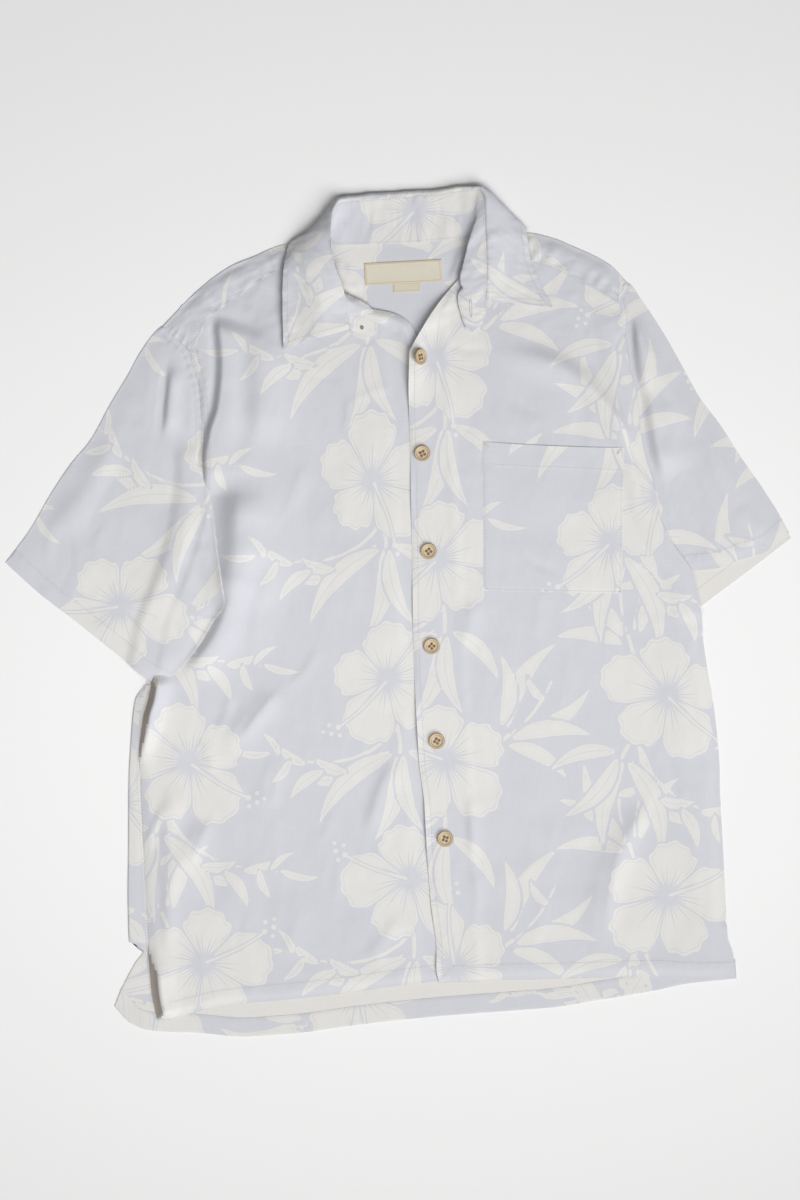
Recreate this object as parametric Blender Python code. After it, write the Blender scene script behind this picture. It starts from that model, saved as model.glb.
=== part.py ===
"""Short-sleeved hawaiian shirt, buttoned and laid flat on its back.

The shirt lies in the X-Y plane with its front up: +X to the wearer's left, +Y to the collar.
Tables are in millimetres, and every mesh is made in metres.
"""
import math

import bmesh
import bpy
import numpy as np
from mathutils import Matrix, Vector

MM = 0.001
WALL = 1.0            # thickness of one layer of cloth
GAP = 0.4             # clearance between neighbouring pieces
REST = 1.35           # underside of a front panel over the flat back
EDGE = 1.3            # how far a turned edge reaches in before it lies flat
LEAF_LIFT = 1.4       # rise of the yoke over the collar leaf that is folded under it
LAP_LIFT = 1.45       # rise of the button front over the front beneath it
TUCK_LIFT = 1.5       # rise of the front over the sleeve that is tucked under it
BUTTON_RADIUS = 7.6
BUTTON_HEIGHT = 2.8
HOLE_RADIUS = 0.9
HOLE_OFFSET = 1.6

# ---- outlines, as (x, y) -------------------------------------------------------------------

# Turned edge of the back on the wearer's right, from hem to underarm and up the armhole.
BACK_SIDE_RIGHT = [
    (-293, -362), (-282, -344), (-271, -324), (-278, -302), (-275, -261), (-272, -214),
    (-268, -148), (-264, -110), (-258, -72), (-248, -57), (-240, -40), (-228, 0),
    (-205, 50), (-187, 100), (-180.5, 152), (-180, 214), (-185, 235)]

# Free edge of the back on the wearer's left, which the front's turned edge meets.
BACK_SIDE_LEFT = [
    (298, -367), (296, -347), (291, -334), (280, -326), (280, -292), (280, -244),
    (281, -159), (277, -92), (272, -44), (270, -22), (264.5, -5), (252.5, 30), (236.5, 60),
    (229.5, 100), (223, 134), (220, 158), (218, 192), (213, 216), (212, 235)]

BACK_HEM = [
    (-293, -362), (-279, -378), (-261, -386), (-214, -391), (-166, -397), (-119, -396),
    (-71, -392), (-23, -389), (25, -387), (72, -386), (120, -385), (168, -380),
    (215, -375), (254, -369), (298, -367)]

# Wearer's right front: side seam, then armhole; it runs on under the other front.
RIGHT_FRONT_SIDE = [
    (-253, -377), (-257, -348), (-258, -302), (-258, -205), (-257, -129), (-252, -91),
    (-245, -70), (-240, -48), (-228, 0), (-205, 50), (-188, 100), (-181, 152),
    (-181, 214), (-186, 243), (-189, 257)]
RIGHT_FRONT_LAP = [(47, -354), (47, 236)]
RIGHT_FRONT_HEM = [
    (-253, -377), (-232, -374), (-188, -366), (-117, -363), (-69, -360), (-21, -356),
    (14, -354), (47, -354)]
RIGHT_FRONT_TOP = [
    (-189, 257), (-172, 284), (-150, 300), (-125, 316), (-96, 330), (-80, 333),
    (-64, 331), (-60, 319), (-49, 305), (-31, 293), (-13, 287), (8, 281), (22, 271),
    (29, 258), (47, 236)]

# Wearer's left front: button edge, then the outer side up to the armhole.
LEFT_FRONT_EDGE = [
    (16, -355), (14, -344), (15, -320), (12, -277), (11, -229), (11, -186), (8, -143),
    (8, -86), (9, -29), (12, 47), (14, 104), (16, 161), (17, 203), (20, 244)]
LEFT_FRONT_SIDE = [
    (297, -366), (296, -345), (291.5, -325), (292, -292), (292, -244), (292, -197),
    (293, -159), (292, -130), (289, -92), (286, -68), (284, -44), (283, -13), (281, -2),
    (277, 21), (270, 33), (258, 52), (248, 77), (244, 110), (238, 134), (235, 158),
    (233, 192), (228, 216), (226, 240), (223, 263), (221, 281)]
LEFT_FRONT_HEM = [
    (16, -355), (74, -356), (131, -358), (169, -359), (216, -360), (263, -365), (297, -366)]
LEFT_FRONT_TOP = [
    (20, 244), (24, 251), (49, 287), (69, 309), (80, 319), (91, 327), (100, 329),
    (120, 329), (138, 326), (160, 319), (195, 298), (221, 281)]

# Yoke: its two armhole sides, the shoulder folds and, between them, the back of the neck.
YOKE_SIDE_RIGHT = [
    (-184.4, 235.4), (-184.4, 245), (-188.8, 257.5), (-201.8, 269.5), (-213.4, 282.4)]
YOKE_SIDE_LEFT = [
    (212.5, 235.4), (221, 252.5), (222, 268), (220, 282.6), (230.4, 299)]
YOKE_FOLD = [
    (-215, 281), (-205, 291), (-185, 309), (-165, 324), (-146, 335), (-126, 342),
    (-97, 352), (-88, 353), (-84, 349.5), (-76, 346.5), (-66, 345), (-56, 350),
    (-46, 351), (-7, 350), (26, 349), (66, 350), (82, 351), (91, 345), (100, 343),
    (116, 343.5), (131, 347), (138, 351), (159, 346), (183, 335), (206, 323),
    (217, 315), (231, 299)]
YOKE_COLUMNS = [
    -215, -196, -176, -155, -133, -110, -95, -84, -74, -66, -56, -46, -25, 0, 26, 50,
    70, 82, 91, 102, 116, 131, 145, 162, 181, 200, 217, 231]
YOKE_NECK = (9, 18)   # first and last column of the neck
YOKE_BOTTOM = 235.0 + GAP
YOKE_ROWS = [0.0, 0.25, 0.5, 0.7, 0.8, 0.9, 1.0]
FLAP_ROWS = [0.25, 0.5, 0.75, 1.0]

# Sleeves: shoulder fold, underarm fold, armhole and cuff.
RIGHT_SLEEVE_OUT = [
    (-215.5, 280), (-235, 258), (-248, 237), (-267, 209), (-287, 177), (-308, 154),
    (-328, 127), (-349, 95), (-374, 65)]
RIGHT_SLEEVE_IN = [
    (-182, 152), (-178, 133), (-175, 104), (-173, 76), (-169, 37), (-167, 13),
    (-178, -2), (-194, -25), (-214, -46), (-234, -58)]
RIGHT_ARMHOLE = [
    (-215.5, 280), (-203, 268), (-191.5, 256), (-187.5, 243), (-182, 214), (-182, 180),
    (-182, 152)]
RIGHT_CUFF = [
    (-374, 65), (-343, 34), (-306, 2), (-270, -30), (-246, -52), (-234, -58)]
LEFT_SLEEVE_OUT = [
    (232, 298), (242, 283), (250, 270), (263, 247), (276, 221), (293, 186), (311, 159),
    (328, 129), (346, 100), (363, 70), (374, 49)]
LEFT_SLEEVE_IN = [(232.6, 100), (239.6, 60), (255.6, 30), (267.6, -5), (272.6, -21)]
LEFT_ARMHOLE = [
    (232, 298), (222, 282), (224, 268), (223, 252), (215, 235), (215.6, 216),
    (220.6, 192), (222.6, 158), (225.6, 134), (232.6, 100)]
LEFT_CUFF = [(374, 49), (329, 18), (283, -13), (272.6, -21)]
LEFT_CUFF_TOP = [(371, 53), (347, 36), (323, 30), (299, 23), (278, 22), (264, 16)]

# Breast pocket: its four corners, from the top edge's inner end round to the hem side.
POCKET = [(85, 155), (218, 142), (209, 4), (78, 14)]

# Woven label and size tag inside the neck: centre, width, height and turn in degrees.
LABEL = (18.3, 319.5, 73, 21, 0.0)
SIZE_TAG = (21.0, 304.0, 26, 7, 0.0)

# Centres of the buttons down the front.
BUTTONS = [(29, 238), (27, 147), (28, 54), (26, -36), (26, -126), (29, -219)]

# ---- heights -------------------------------------------------------------------------------

# Folds of the front, each along three points: (x, y) three times, height, and its reach
# to the left and right of its line.
FOLDS = [
    # x0,  y0,   x1,   y1,   x2,   y2,  height, left, right
    (-151, 300, -147, 225, -166, 132, 6.5, 9, 26),
    (-190, 250, -176, 200, -183, 120, 1.6, 10, 7),
    (-128, 280, -131, 220, -138, 150, -1.3, 12, 12),
    (-150, 84, -135, 62, -100, 60, 2.2, 14, 14),
    (-104, 62, -132, 16, -144, -40, 2.0, 9, 15),
    (-118, -64, -146, -92, -180, -124, 2.4, 11, 15),
    (-128, -130, -136, -155, -143, -184, 1.5, 9, 10),
    (-198, -184, -212, -212, -224, -240, 2.0, 8, 12),
    (-226, -150, -232, -200, -226, -262, 2.6, 8, 12),
    (-12, -138, -30, -175, -42, -212, 1.5, 10, 12),
    (-60, 60, -20, 30, -4, -20, 1.0, 14, 16),
    (98, 243, 172, 216, 236, 132, 5.0, 14, 10),
    (110, 60, 150, 62, 190, 80, -0.6, 14, 14),
    (226, -186, 190, -246, 164, -330, 3.0, 14, 12),
    (56, -176, 53, -210, 50, -246, 1.3, 9, 10),
    (250, -40, 262, -110, 258, -180, 1.4, 16, 14),
    (74, 10, 64, -15, 54, -40, 1.0, 10, 10),
]
LOFT = 1.2            # general rise of the front over the back

# Neck edge of the left front, which rolls open above the top button, in the same columns.
ROLL = [(19, 190, 22, 248, 62, 302, 5.0, 11, 12)]

# Creases and swellings of the two sleeves, in the same columns.
SLEEVE_FOLDS = [
    (-198, 250, -205, 215, -208, 176, 2.4, 12, 7),
    (-222, 246, -236, 205, -246, 160, 2.6, 12, 9),
    (-236, 190, -262, 140, -300, 70, -1.6, 12, 12),
    (-262, 180, -290, 130, -330, 84, 1.6, 12, 12),
    (-200, 120, -214, 60, -250, -6, 2.6, 16, 16),
    (-318, 100, -316, 60, -336, 44, -1.2, 9, 9),
    (244, 250, 252, 215, 262, 180, 3.0, 9, 12),
    (258, 170, 274, 120, 292, 60, -1.4, 12, 12),
    (280, 190, 306, 130, 330, 70, 2.2, 14, 14),
    (322, 84, 336, 60, 346, 44, 1.4, 9, 9),
]
SLEEVE_LOFT = 2.2

# ---- collar --------------------------------------------------------------------------------

# Stand, from the wearer's right tab round the neck to the left tab: the neck seam, the
# middle and the upper seam of each section, each as x, y, z.
STAND = [
    # neck seam            middle               upper seam
    (-10.0, 263.0, 3.9, -22.0, 258.5, 4.0, -34.0, 264.0, 4.3),
    (-9.0, 274.0, 4.2, -22.0, 271.0, 5.0, -36.0, 273.0, 5.6),
    (-14.0, 287.0, 4.5, -25.0, 285.0, 6.5, -37.0, 284.0, 8.0),
    (-30.0, 298.0, 4.4, -35.0, 297.0, 8.0, -39.0, 298.0, 12.0),
    (-48.0, 310.0, 4.4, -46.0, 311.0, 9.5, -43.0, 313.0, 16.0),
    (-61.0, 328.0, 4.9, -56.0, 329.0, 11.0, -48.0, 330.0, 18.5),
    (-65.0, 342.0, 5.0, -60.0, 344.0, 11.0, -49.0, 346.0, 19.0),
    (-61.0, 353.0, 4.6, -56.0, 357.0, 10.5, -49.0, 360.0, 18.0),
    (-53.0, 353.0, 3.9, -50.0, 363.0, 9.0, -47.0, 371.0, 16.0),
    (-45.0, 349.0, 3.4, -44.0, 368.0, 6.5, -43.0, 382.0, 12.5),
    (-36.0, 348.5, 3.4, -36.0, 370.0, 5.3, -36.0, 389.0, 9.0),
    (-12.0, 348.0, 3.4, -12.0, 370.0, 4.5, -14.0, 390.5, 7.0),
    (19.0, 347.0, 3.4, 19.0, 370.0, 4.3, 19.0, 391.0, 6.5),
    (48.0, 347.5, 3.4, 49.0, 370.0, 4.5, 50.0, 391.0, 7.0),
    (70.0, 348.5, 3.4, 73.0, 370.0, 5.2, 77.0, 394.0, 8.0),
    (82.0, 351.0, 3.8, 88.0, 372.0, 8.0, 93.0, 394.0, 10.5),
    (91.0, 349.0, 4.4, 90.0, 366.0, 11.5, 98.5, 381.0, 12.5),
    (94.0, 340.0, 5.8, 84.0, 350.0, 12.0, 98.0, 364.0, 13.0),
    (91.0, 326.0, 5.9, 76.5, 328.0, 10.5, 98.0, 340.0, 12.5),
    (78.0, 308.0, 6.4, 71.5, 308.0, 9.0, 97.0, 316.0, 11.0),
    (68.5, 292.0, 6.8, 79.0, 292.0, 8.2, 96.0, 297.0, 9.4),
    (71.0, 276.0, 5.6, 82.0, 275.0, 6.2, 95.0, 280.0, 6.9),
    (75.0, 262.5, 4.8, 81.5, 259.5, 4.8, 90.0, 266.0, 5.0),
]

# Leaf, from the wearer's right tip round the neck to the left tip: its start over the
# stand, two points down its fall, and its outer edge. Behind the neck it is folded under.
LEAF = [
    # start                 upper                lower                edge
    (-37.0, 268.0, 7.2, -56.0, 263.0, 8.0, -78.0, 258.0, 5.4, -99.0, 252.0, 4.6),
    (-37.0, 284.0, 10.4, -57.0, 280.0, 10.2, -79.0, 275.0, 6.4, -98.5, 268.0, 4.6),
    (-38.0, 298.0, 14.4, -58.0, 296.0, 12.8, -79.0, 293.0, 7.4, -98.0, 285.0, 4.4),
    (-42.0, 314.0, 18.2, -60.0, 313.0, 15.4, -79.0, 312.0, 8.8, -97.0, 305.0, 4.2),
    (-47.0, 331.0, 20.6, -63.0, 331.0, 17.2, -80.0, 331.0, 10.0, -95.0, 325.0, 4.6),
    (-48.0, 347.0, 21.2, -64.0, 348.0, 17.2, -80.0, 346.0, 10.0, -92.0, 340.0, 4.8),
    (-48.0, 360.0, 20.2, -66.0, 360.0, 14.2, -79.0, 356.0, 8.0, -87.5, 352.5, 4.4),
    (-47.0, 370.0, 18.0, -61.0, 368.0, 11.0, -73.0, 362.0, 4.0, -82.0, 356.0, 2.0),
    (-46.0, 377.0, 16.2, -55.0, 376.0, 9.0, -63.0, 368.0, 1.8, -72.0, 353.5, 0.7),
    (-43.0, 384.0, 13.8, -48.5, 383.5, 7.5, -53.0, 376.0, 1.0, -60.0, 346.0, 0.5),
    (-37.0, 390.5, 10.6, -39.0, 393.0, 5.5, -41.0, 387.0, 0.7, -46.0, 340.0, 0.5),
    (-14.0, 392.3, 7.2, -14.0, 395.6, 4.0, -14.0, 389.0, 0.5, -15.0, 337.0, 0.5),
    (19.0, 392.7, 6.7, 19.0, 396.2, 3.6, 19.0, 389.0, 0.5, 20.0, 336.0, 0.5),
    (50.0, 392.7, 7.2, 50.0, 396.3, 4.0, 52.0, 389.0, 0.5, 55.0, 336.0, 0.5),
    (77.5, 395.8, 8.4, 79.0, 397.8, 5.0, 81.0, 391.0, 0.6, 86.0, 338.0, 0.5),
    (94.5, 395.8, 11.6, 98.0, 396.0, 6.5, 101.0, 388.0, 1.0, 108.0, 341.0, 0.5),
    (100.5, 383.0, 13.8, 109.0, 384.0, 10.0, 116.0, 377.0, 2.8, 121.0, 349.0, 0.7),
    (100.0, 366.0, 14.2, 113.0, 371.0, 11.4, 126.0, 367.5, 4.2, 131.0, 356.5, 1.6),
    (99.8, 352.0, 13.8, 114.0, 356.5, 11.4, 129.5, 359.5, 6.2, 137.5, 354.5, 4.0),
    (99.8, 341.0, 13.4, 115.0, 344.0, 10.8, 128.0, 345.0, 7.4, 137.5, 343.5, 4.8),
    (99.6, 328.0, 12.6, 114.0, 330.0, 10.2, 128.0, 331.0, 6.8, 138.5, 330.0, 4.4),
    (99.0, 316.0, 12.0, 115.0, 316.5, 9.2, 130.0, 316.0, 6.2, 142.5, 315.0, 4.2),
    (98.0, 300.0, 10.4, 116.0, 299.0, 8.2, 134.0, 298.0, 5.8, 149.5, 296.0, 4.0),
    (97.0, 287.0, 8.4, 117.0, 284.5, 6.8, 139.0, 281.5, 5.0, 158.0, 278.0, 4.3),
]


# ---- lines and surfaces --------------------------------------------------------------------

def smooth(t):
    """Ease from 0 to 1."""
    t = np.clip(t, 0.0, 1.0)
    return t * t * (3.0 - 2.0 * t)


def along(points, count):
    """Points spaced evenly along a smooth line through the given ones."""
    points = np.array(points, float)
    length = np.r_[0.0, np.cumsum(np.linalg.norm(np.diff(points, axis=0), axis=1))]
    return blend(points, length / length[-1], np.linspace(0.0, 1.0, count))


def blend(points, knots, at):
    """Cubic interpolation of points that stand at the given knots, without overshoot."""
    points = np.array(points, float)
    knots = np.array(knots, float)
    step = np.diff(knots)[:, None]
    slope = np.diff(points, axis=0) / step
    inner = np.where(slope[:-1] * slope[1:] > 0.0,
                     2.0 * slope[:-1] * slope[1:] / (slope[:-1] + slope[1:] + 1e-12), 0.0)
    tangent = np.vstack([slope[:1], inner, slope[-1:]])
    at = np.clip(np.asarray(at, float), knots[0], knots[-1])
    cell = np.clip(np.searchsorted(knots, at, side="right") - 1, 0, len(knots) - 2)
    h = step[cell]
    t = ((at - knots[cell])[:, None]) / h
    return ((2 * t**3 - 3 * t**2 + 1) * points[cell] + (t**3 - 2 * t**2 + t) * h * tangent[cell]
            + (3 * t**2 - 2 * t**3) * points[cell + 1] + (t**3 - t**2) * h * tangent[cell + 1])


def by_x(line, x):
    """Height in Y of a line at the given X."""
    line = sorted(line)
    x = np.asarray(x, float)
    return np.interp(x, [p[0] for p in line], [p[1] for p in line])


def by_y(line, y):
    """Place in X of a line at the given Y."""
    line = sorted(line, key=lambda p: p[1])
    y = np.asarray(y, float)
    return np.interp(y, [p[1] for p in line], [p[0] for p in line])


def fold_height(folds, x, y):
    """Sum of the ridges and troughs of a table at the given places."""
    total = np.zeros(np.shape(x))
    for x0, y0, x1, y1, x2, y2, height, left, right in folds:
        spine = along([(x0, y0), (x1, y1), (x2, y2)], 13)
        best = np.full(np.shape(x), 1e9)
        side = np.zeros(np.shape(x))
        place = np.zeros(np.shape(x))
        for i, (a, b) in enumerate(zip(spine[:-1], spine[1:])):
            run = b - a
            size = run.dot(run)
            t = np.clip(((x - a[0]) * run[0] + (y - a[1]) * run[1]) / size, 0.0, 1.0)
            dx = x - a[0] - t * run[0]
            dy = y - a[1] - t * run[1]
            far = np.hypot(dx, dy)
            near = far < best
            best = np.where(near, far, best)
            side = np.where(near, np.sign(dx), side)
            place = np.where(near, (i + t) / 12.0, place)
        reach = np.where(side < 0, left, right)
        taper = smooth(place / 0.3) * smooth((1.0 - place) / 0.3)
        total += height * np.exp(-(best / reach)**2) * (0.12 + 0.88 * taper) * (best < 4 * reach)
    return total


def neck_lift(x, y):
    """Rise of the cloth over the leaf that lies under the back of the neck."""
    return LEAF_LIFT * smooth((y - 311.0) / 22.0) * smooth((x + 84.0) / 9.0) * smooth((128.0 - x) / 9.0)


def cloth_rise(x, y):
    """Rise of the upper layer over its resting height: loft, folds and the neck's lift."""
    top = np.where((x > -64) & (x < 91), np.where(x < 22, by_x(RIGHT_FRONT_TOP, x),
                                                  by_x(LEFT_FRONT_TOP, x)), by_x(YOKE_FOLD, x))
    left = x - by_y(RIGHT_FRONT_SIDE, y)
    right = by_y(LEFT_FRONT_SIDE, y) - x
    hem = y - np.where(x < 16, by_x(RIGHT_FRONT_HEM, x), by_x(LEFT_FRONT_HEM, x))
    inside = smooth(left / 9) * smooth(right / 16) * smooth(hem / 10) * smooth((top - y) / 11)
    lap = 1.0 - smooth((x + 6) / 12) * smooth((58 - x) / 12)
    raw = (LOFT + fold_height(FOLDS, x, y)) * inside * lap
    return neck_lift(x, y) + 0.5 * (raw + np.sqrt(raw * raw + 0.3)) - 0.5 * math.sqrt(0.3)


def right_front_under(x, y):
    """Underside of the wearer's right front."""
    return REST + cloth_rise(x, y)


def left_front_under(x, y):
    """Underside of the wearer's left front, over the other front and the tucked sleeve."""
    lap = LAP_LIFT * smooth((62 - x) / 12)
    edge = by_y(LEFT_FRONT_SIDE, y)
    tuck = TUCK_LIFT * smooth((x - edge + 30) / 12) * smooth((y + 30) / 14) * smooth((276 - y) / 18)
    return REST + cloth_rise(x, y) + lap + tuck + fold_height(ROLL, x, y)


def thicken(height, x, y, wall=WALL):
    """Height of a skin one wall above the given one, measured square to the slope."""
    step = 0.5
    gx = (height(x + step, y) - height(x - step, y)) / (2 * step)
    gy = (height(x, y + step) - height(x, y - step)) / (2 * step)
    return height(x, y) + wall * np.sqrt(1.0 + gx * gx + gy * gy)


def patch(left, right, bottom, top, columns, rows, decay=3.0):
    """Plan grid ruled between two sides, with its ends bent to the bottom and top lines."""
    u = np.asarray(columns, float)
    v = np.asarray(rows, float)
    left_y = left[0][1] + v * (left[-1][1] - left[0][1])
    right_y = right[0][1] + v * (right[-1][1] - right[0][1])
    a = np.stack([by_y(left, left_y), left_y], axis=1)
    b = np.stack([by_y(right, right_y), right_y], axis=1)
    grid = a[:, None, :] * (1 - u)[None, :, None] + b[:, None, :] * u[None, :, None]
    for line, weight in ((bottom, (1 - v)**decay), (top, v**decay)):
        x = line[0][0] + u * (line[-1][0] - line[0][0])
        chord = line[0][1] + u * (line[-1][1] - line[0][1])
        grid[:, :, 1] += weight[:, None] * (by_x(line, x) - chord)[None, :]
    return grid


def coons(start, end, first, last, rows, columns):
    """Plan grid between four lines: start and end rows, first and last columns."""
    v = np.asarray(rows, float)
    u = np.asarray(columns, float)

    def at(line, t):
        fine = along(line, 201)
        return np.stack([np.interp(t, np.linspace(0, 1, 201), fine[:, k]) for k in (0, 1)], axis=1)

    s, e, f, l = at(start, u), at(end, u), at(first, v), at(last, v)
    vv, uu = v[:, None, None], u[None, :, None]
    ruled = (1 - vv) * s[None] + vv * e[None] + (1 - uu) * f[:, None] + uu * l[:, None]
    corner = ((1 - vv) * ((1 - uu) * s[0] + uu * s[-1]) + vv * ((1 - uu) * e[0] + uu * e[-1]))
    return ruled - corner


# ---- meshes --------------------------------------------------------------------------------

def material(name, colour, roughness):
    """A Principled material with a flat colour."""
    made = bpy.data.materials.new(name)
    made.use_nodes = True
    shader = made.node_tree.nodes["Principled BSDF"]
    shader.inputs["Base Color"].default_value = (*colour, 1.0)
    shader.inputs["Roughness"].default_value = roughness
    shader.inputs["Metallic"].default_value = 0.0
    made.diffuse_color = (*colour, 1.0)
    return made


def place(name, bm, made, root):
    """Turn a bmesh into a named object under the root."""
    bmesh.ops.recalc_face_normals(bm, faces=bm.faces)
    mesh = bpy.data.meshes.new(name)
    bm.to_mesh(mesh)
    bm.free()
    mesh.materials.append(made)
    mesh.shade_smooth()
    mesh.set_sharp_from_angle(angle=math.radians(40))
    obj = bpy.data.objects.new(name, mesh)
    obj.parent = root
    bpy.context.scene.collection.objects.link(obj)
    return obj


def wall(outer, inner, keep=None, cyclic=False):
    """One closed wall from two skins of the same grid, joined along every free edge."""
    rows, columns = outer.shape[:2]
    bm = bmesh.new()
    made = {}

    def vert(skin, r, c):
        key = (skin, r, c % columns)
        if key not in made:
            source = outer if skin == 0 else inner
            made[key] = bm.verts.new(Vector(source[r, c % columns]) * MM)
        return made[key]

    border = {}
    for r in range(rows - 1):
        for c in range(columns if cyclic else columns - 1):
            if keep is not None and not keep(r, c):
                continue
            ring = [(r, c), (r, c + 1), (r + 1, c + 1), (r + 1, c)]
            bm.faces.new([vert(0, *p) for p in ring])
            bm.faces.new([vert(1, *p) for p in reversed(ring)])
            for p, q in zip(ring, ring[1:] + ring[:1]):
                p = (p[0], p[1] % columns)
                q = (q[0], q[1] % columns)
                if (q, p) in border:
                    del border[(q, p)]
                else:
                    border[(p, q)] = True
    for p, q in border:
        bm.faces.new([vert(0, *q), vert(0, *p), vert(1, *p), vert(1, *q)])
    return bm


def raised(grid, under, over):
    """Upper and lower skins over a plan grid, from two height functions."""
    x, y = grid[:, :, 0], grid[:, :, 1]
    lower = np.dstack([x, y, under(x, y)])
    upper = np.dstack([x, y, over(x, y)])
    return upper, lower


def levels(line, ys):
    """Rows of a patch, as fractions of a side's height, from places in Y."""
    low, high = line[0][1], line[-1][1]
    return np.clip((np.array(ys, float) - low) / (high - low), 0.0, 1.0)


def build_back(made, root):
    """Back panel, flat on the surface, its right edge turned up over itself to the side seam."""
    ys = [-362, -344, -327, -320, -302, -275, -245, -214, -180, -148, -115, -90, -72, -57,
          -44, -30, -21, 0, 25, 50, 75, 100, 126, 152, 180, 210, 235]
    rows = levels(BACK_SIDE_RIGHT, ys)
    grid = patch(BACK_SIDE_RIGHT, BACK_SIDE_LEFT, BACK_HEM, [(-187, 235), (214, 235)],
                 np.linspace(0, 1, 12), rows, 4.0)
    first, last = ys.index(-302), ys.index(-57)
    x, y = grid[:, :, 0], grid[:, :, 1]
    flat_out = np.dstack([x, y, np.zeros_like(x)])
    flat_in = np.dstack([x, y, np.full_like(x, WALL)])
    edge = grid[:, 0, :]
    seam = by_y(RIGHT_FRONT_SIDE, edge[:, 1]) - GAP
    turned = np.arange(len(ys))
    turned = (turned >= first) & (turned <= last)
    flat_out[turned, 0, 0] += EDGE
    flat_in[turned, 0, 0] += EDGE
    top = 2 * WALL + REST - WALL
    columns = []
    for place_x, z_out, z_in, inset in (
            (seam, top, REST, 0.0), (0.5 * (seam + edge[:, 0]), top, REST, 0.0),
            (edge[:, 0] + EDGE, top, REST, 0.0),
            (edge[:, 0], 0.5 * top, 0.5 * top, WALL)):
        out = np.stack([place_x, edge[:, 1], np.full(len(ys), z_out)], axis=1)
        into = np.stack([place_x + inset, edge[:, 1], np.full(len(ys), z_in)], axis=1)
        columns.append((out, into))
    outer = np.concatenate([np.stack([c[0] for c in columns], axis=1), flat_out], axis=1)
    inner = np.concatenate([np.stack([c[1] for c in columns], axis=1), flat_in], axis=1)
    bm = wall(outer, inner, lambda r, c: c >= 4 or first <= r < last)
    return place("back", bm, made, root)


def build_right_front(made, root):
    """Wearer's right front, which runs on under the button edge of the other front."""
    ys = [-377, -350, -325, -300, -270, -240, -212, -186, -160, -134, -108, -84, -60, -36,
          -10, 15, 40, 64, 88, 112, 136, 160, 184, 206, 226, 243, 257]
    columns = np.array([0, 4, 9, 15, 21, 27, 33, 39, 46, 54, 63, 73, 84, 97, 112, 128, 146,
                        165, 186, 208, 232, 262, 300]) / 300.0
    side = [(p[0] + (2 * GAP if p[1] > -302 else 0.0), p[1]) for p in RIGHT_FRONT_SIDE]
    grid = patch(side, RIGHT_FRONT_LAP, RIGHT_FRONT_HEM, RIGHT_FRONT_TOP, columns,
                 levels(side, ys))
    outer, inner = raised(grid, right_front_under,
                          lambda x, y: thicken(right_front_under, x, y))
    return place("front_right", wall(outer, inner), made, root)


def build_left_front(made, root):
    """Wearer's left front with the button edge, its outer side turned under to the seam."""
    ys = [-366, -345, -325, -312, -275, -248, -222, -196, -170, -144, -118, -92, -66, -40,
          -13, 8, 30, 52, 76, 100, 124, 148, 172, 196, 218, 240, 262, 281]
    columns = np.array([0, 8, 18, 30, 40, 50, 62, 76, 92, 108, 124, 140, 156, 172, 188, 204,
                        220, 234, 246, 256, 266, 274, 281]) / 281.0
    rows = levels(LEFT_FRONT_SIDE, ys)
    grid = patch(LEFT_FRONT_EDGE, LEFT_FRONT_SIDE, LEFT_FRONT_HEM, LEFT_FRONT_TOP, columns, rows)
    first, last = ys.index(-312), ys.index(-40)
    outer, inner = raised(grid, left_front_under, lambda x, y: thicken(left_front_under, x, y))
    edge = grid[:, -1, :].copy()
    turned = np.arange(len(ys))
    turned = (turned >= first) & (turned <= last)
    outer[turned, -1, 0] -= EDGE
    inner[turned, -1, 0] -= EDGE
    top = outer[:, -1, 2]
    columns = []
    for inset, z_out, z_in, shift in (
            (0.0, 0.5 * top, 0.5 * top, -WALL), (EDGE, 0.0 * top, 0.0 * top + WALL, 0.0),
            (10.5, 0.0 * top, 0.0 * top + WALL, 0.0)):
        out = np.stack([edge[:, 0] - inset, edge[:, 1], z_out], axis=1)
        into = np.stack([edge[:, 0] - inset + shift, edge[:, 1], z_in], axis=1)
        columns.append((out, into))
    outer = np.concatenate([outer, np.stack([c[0] for c in columns], axis=1)], axis=1)
    inner = np.concatenate([inner, np.stack([c[1] for c in columns], axis=1)], axis=1)
    count = grid.shape[1]
    bm = wall(outer, inner, lambda r, c: c < count - 1 or first <= r < last)
    return place("front_left", bm, made, root)


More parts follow.
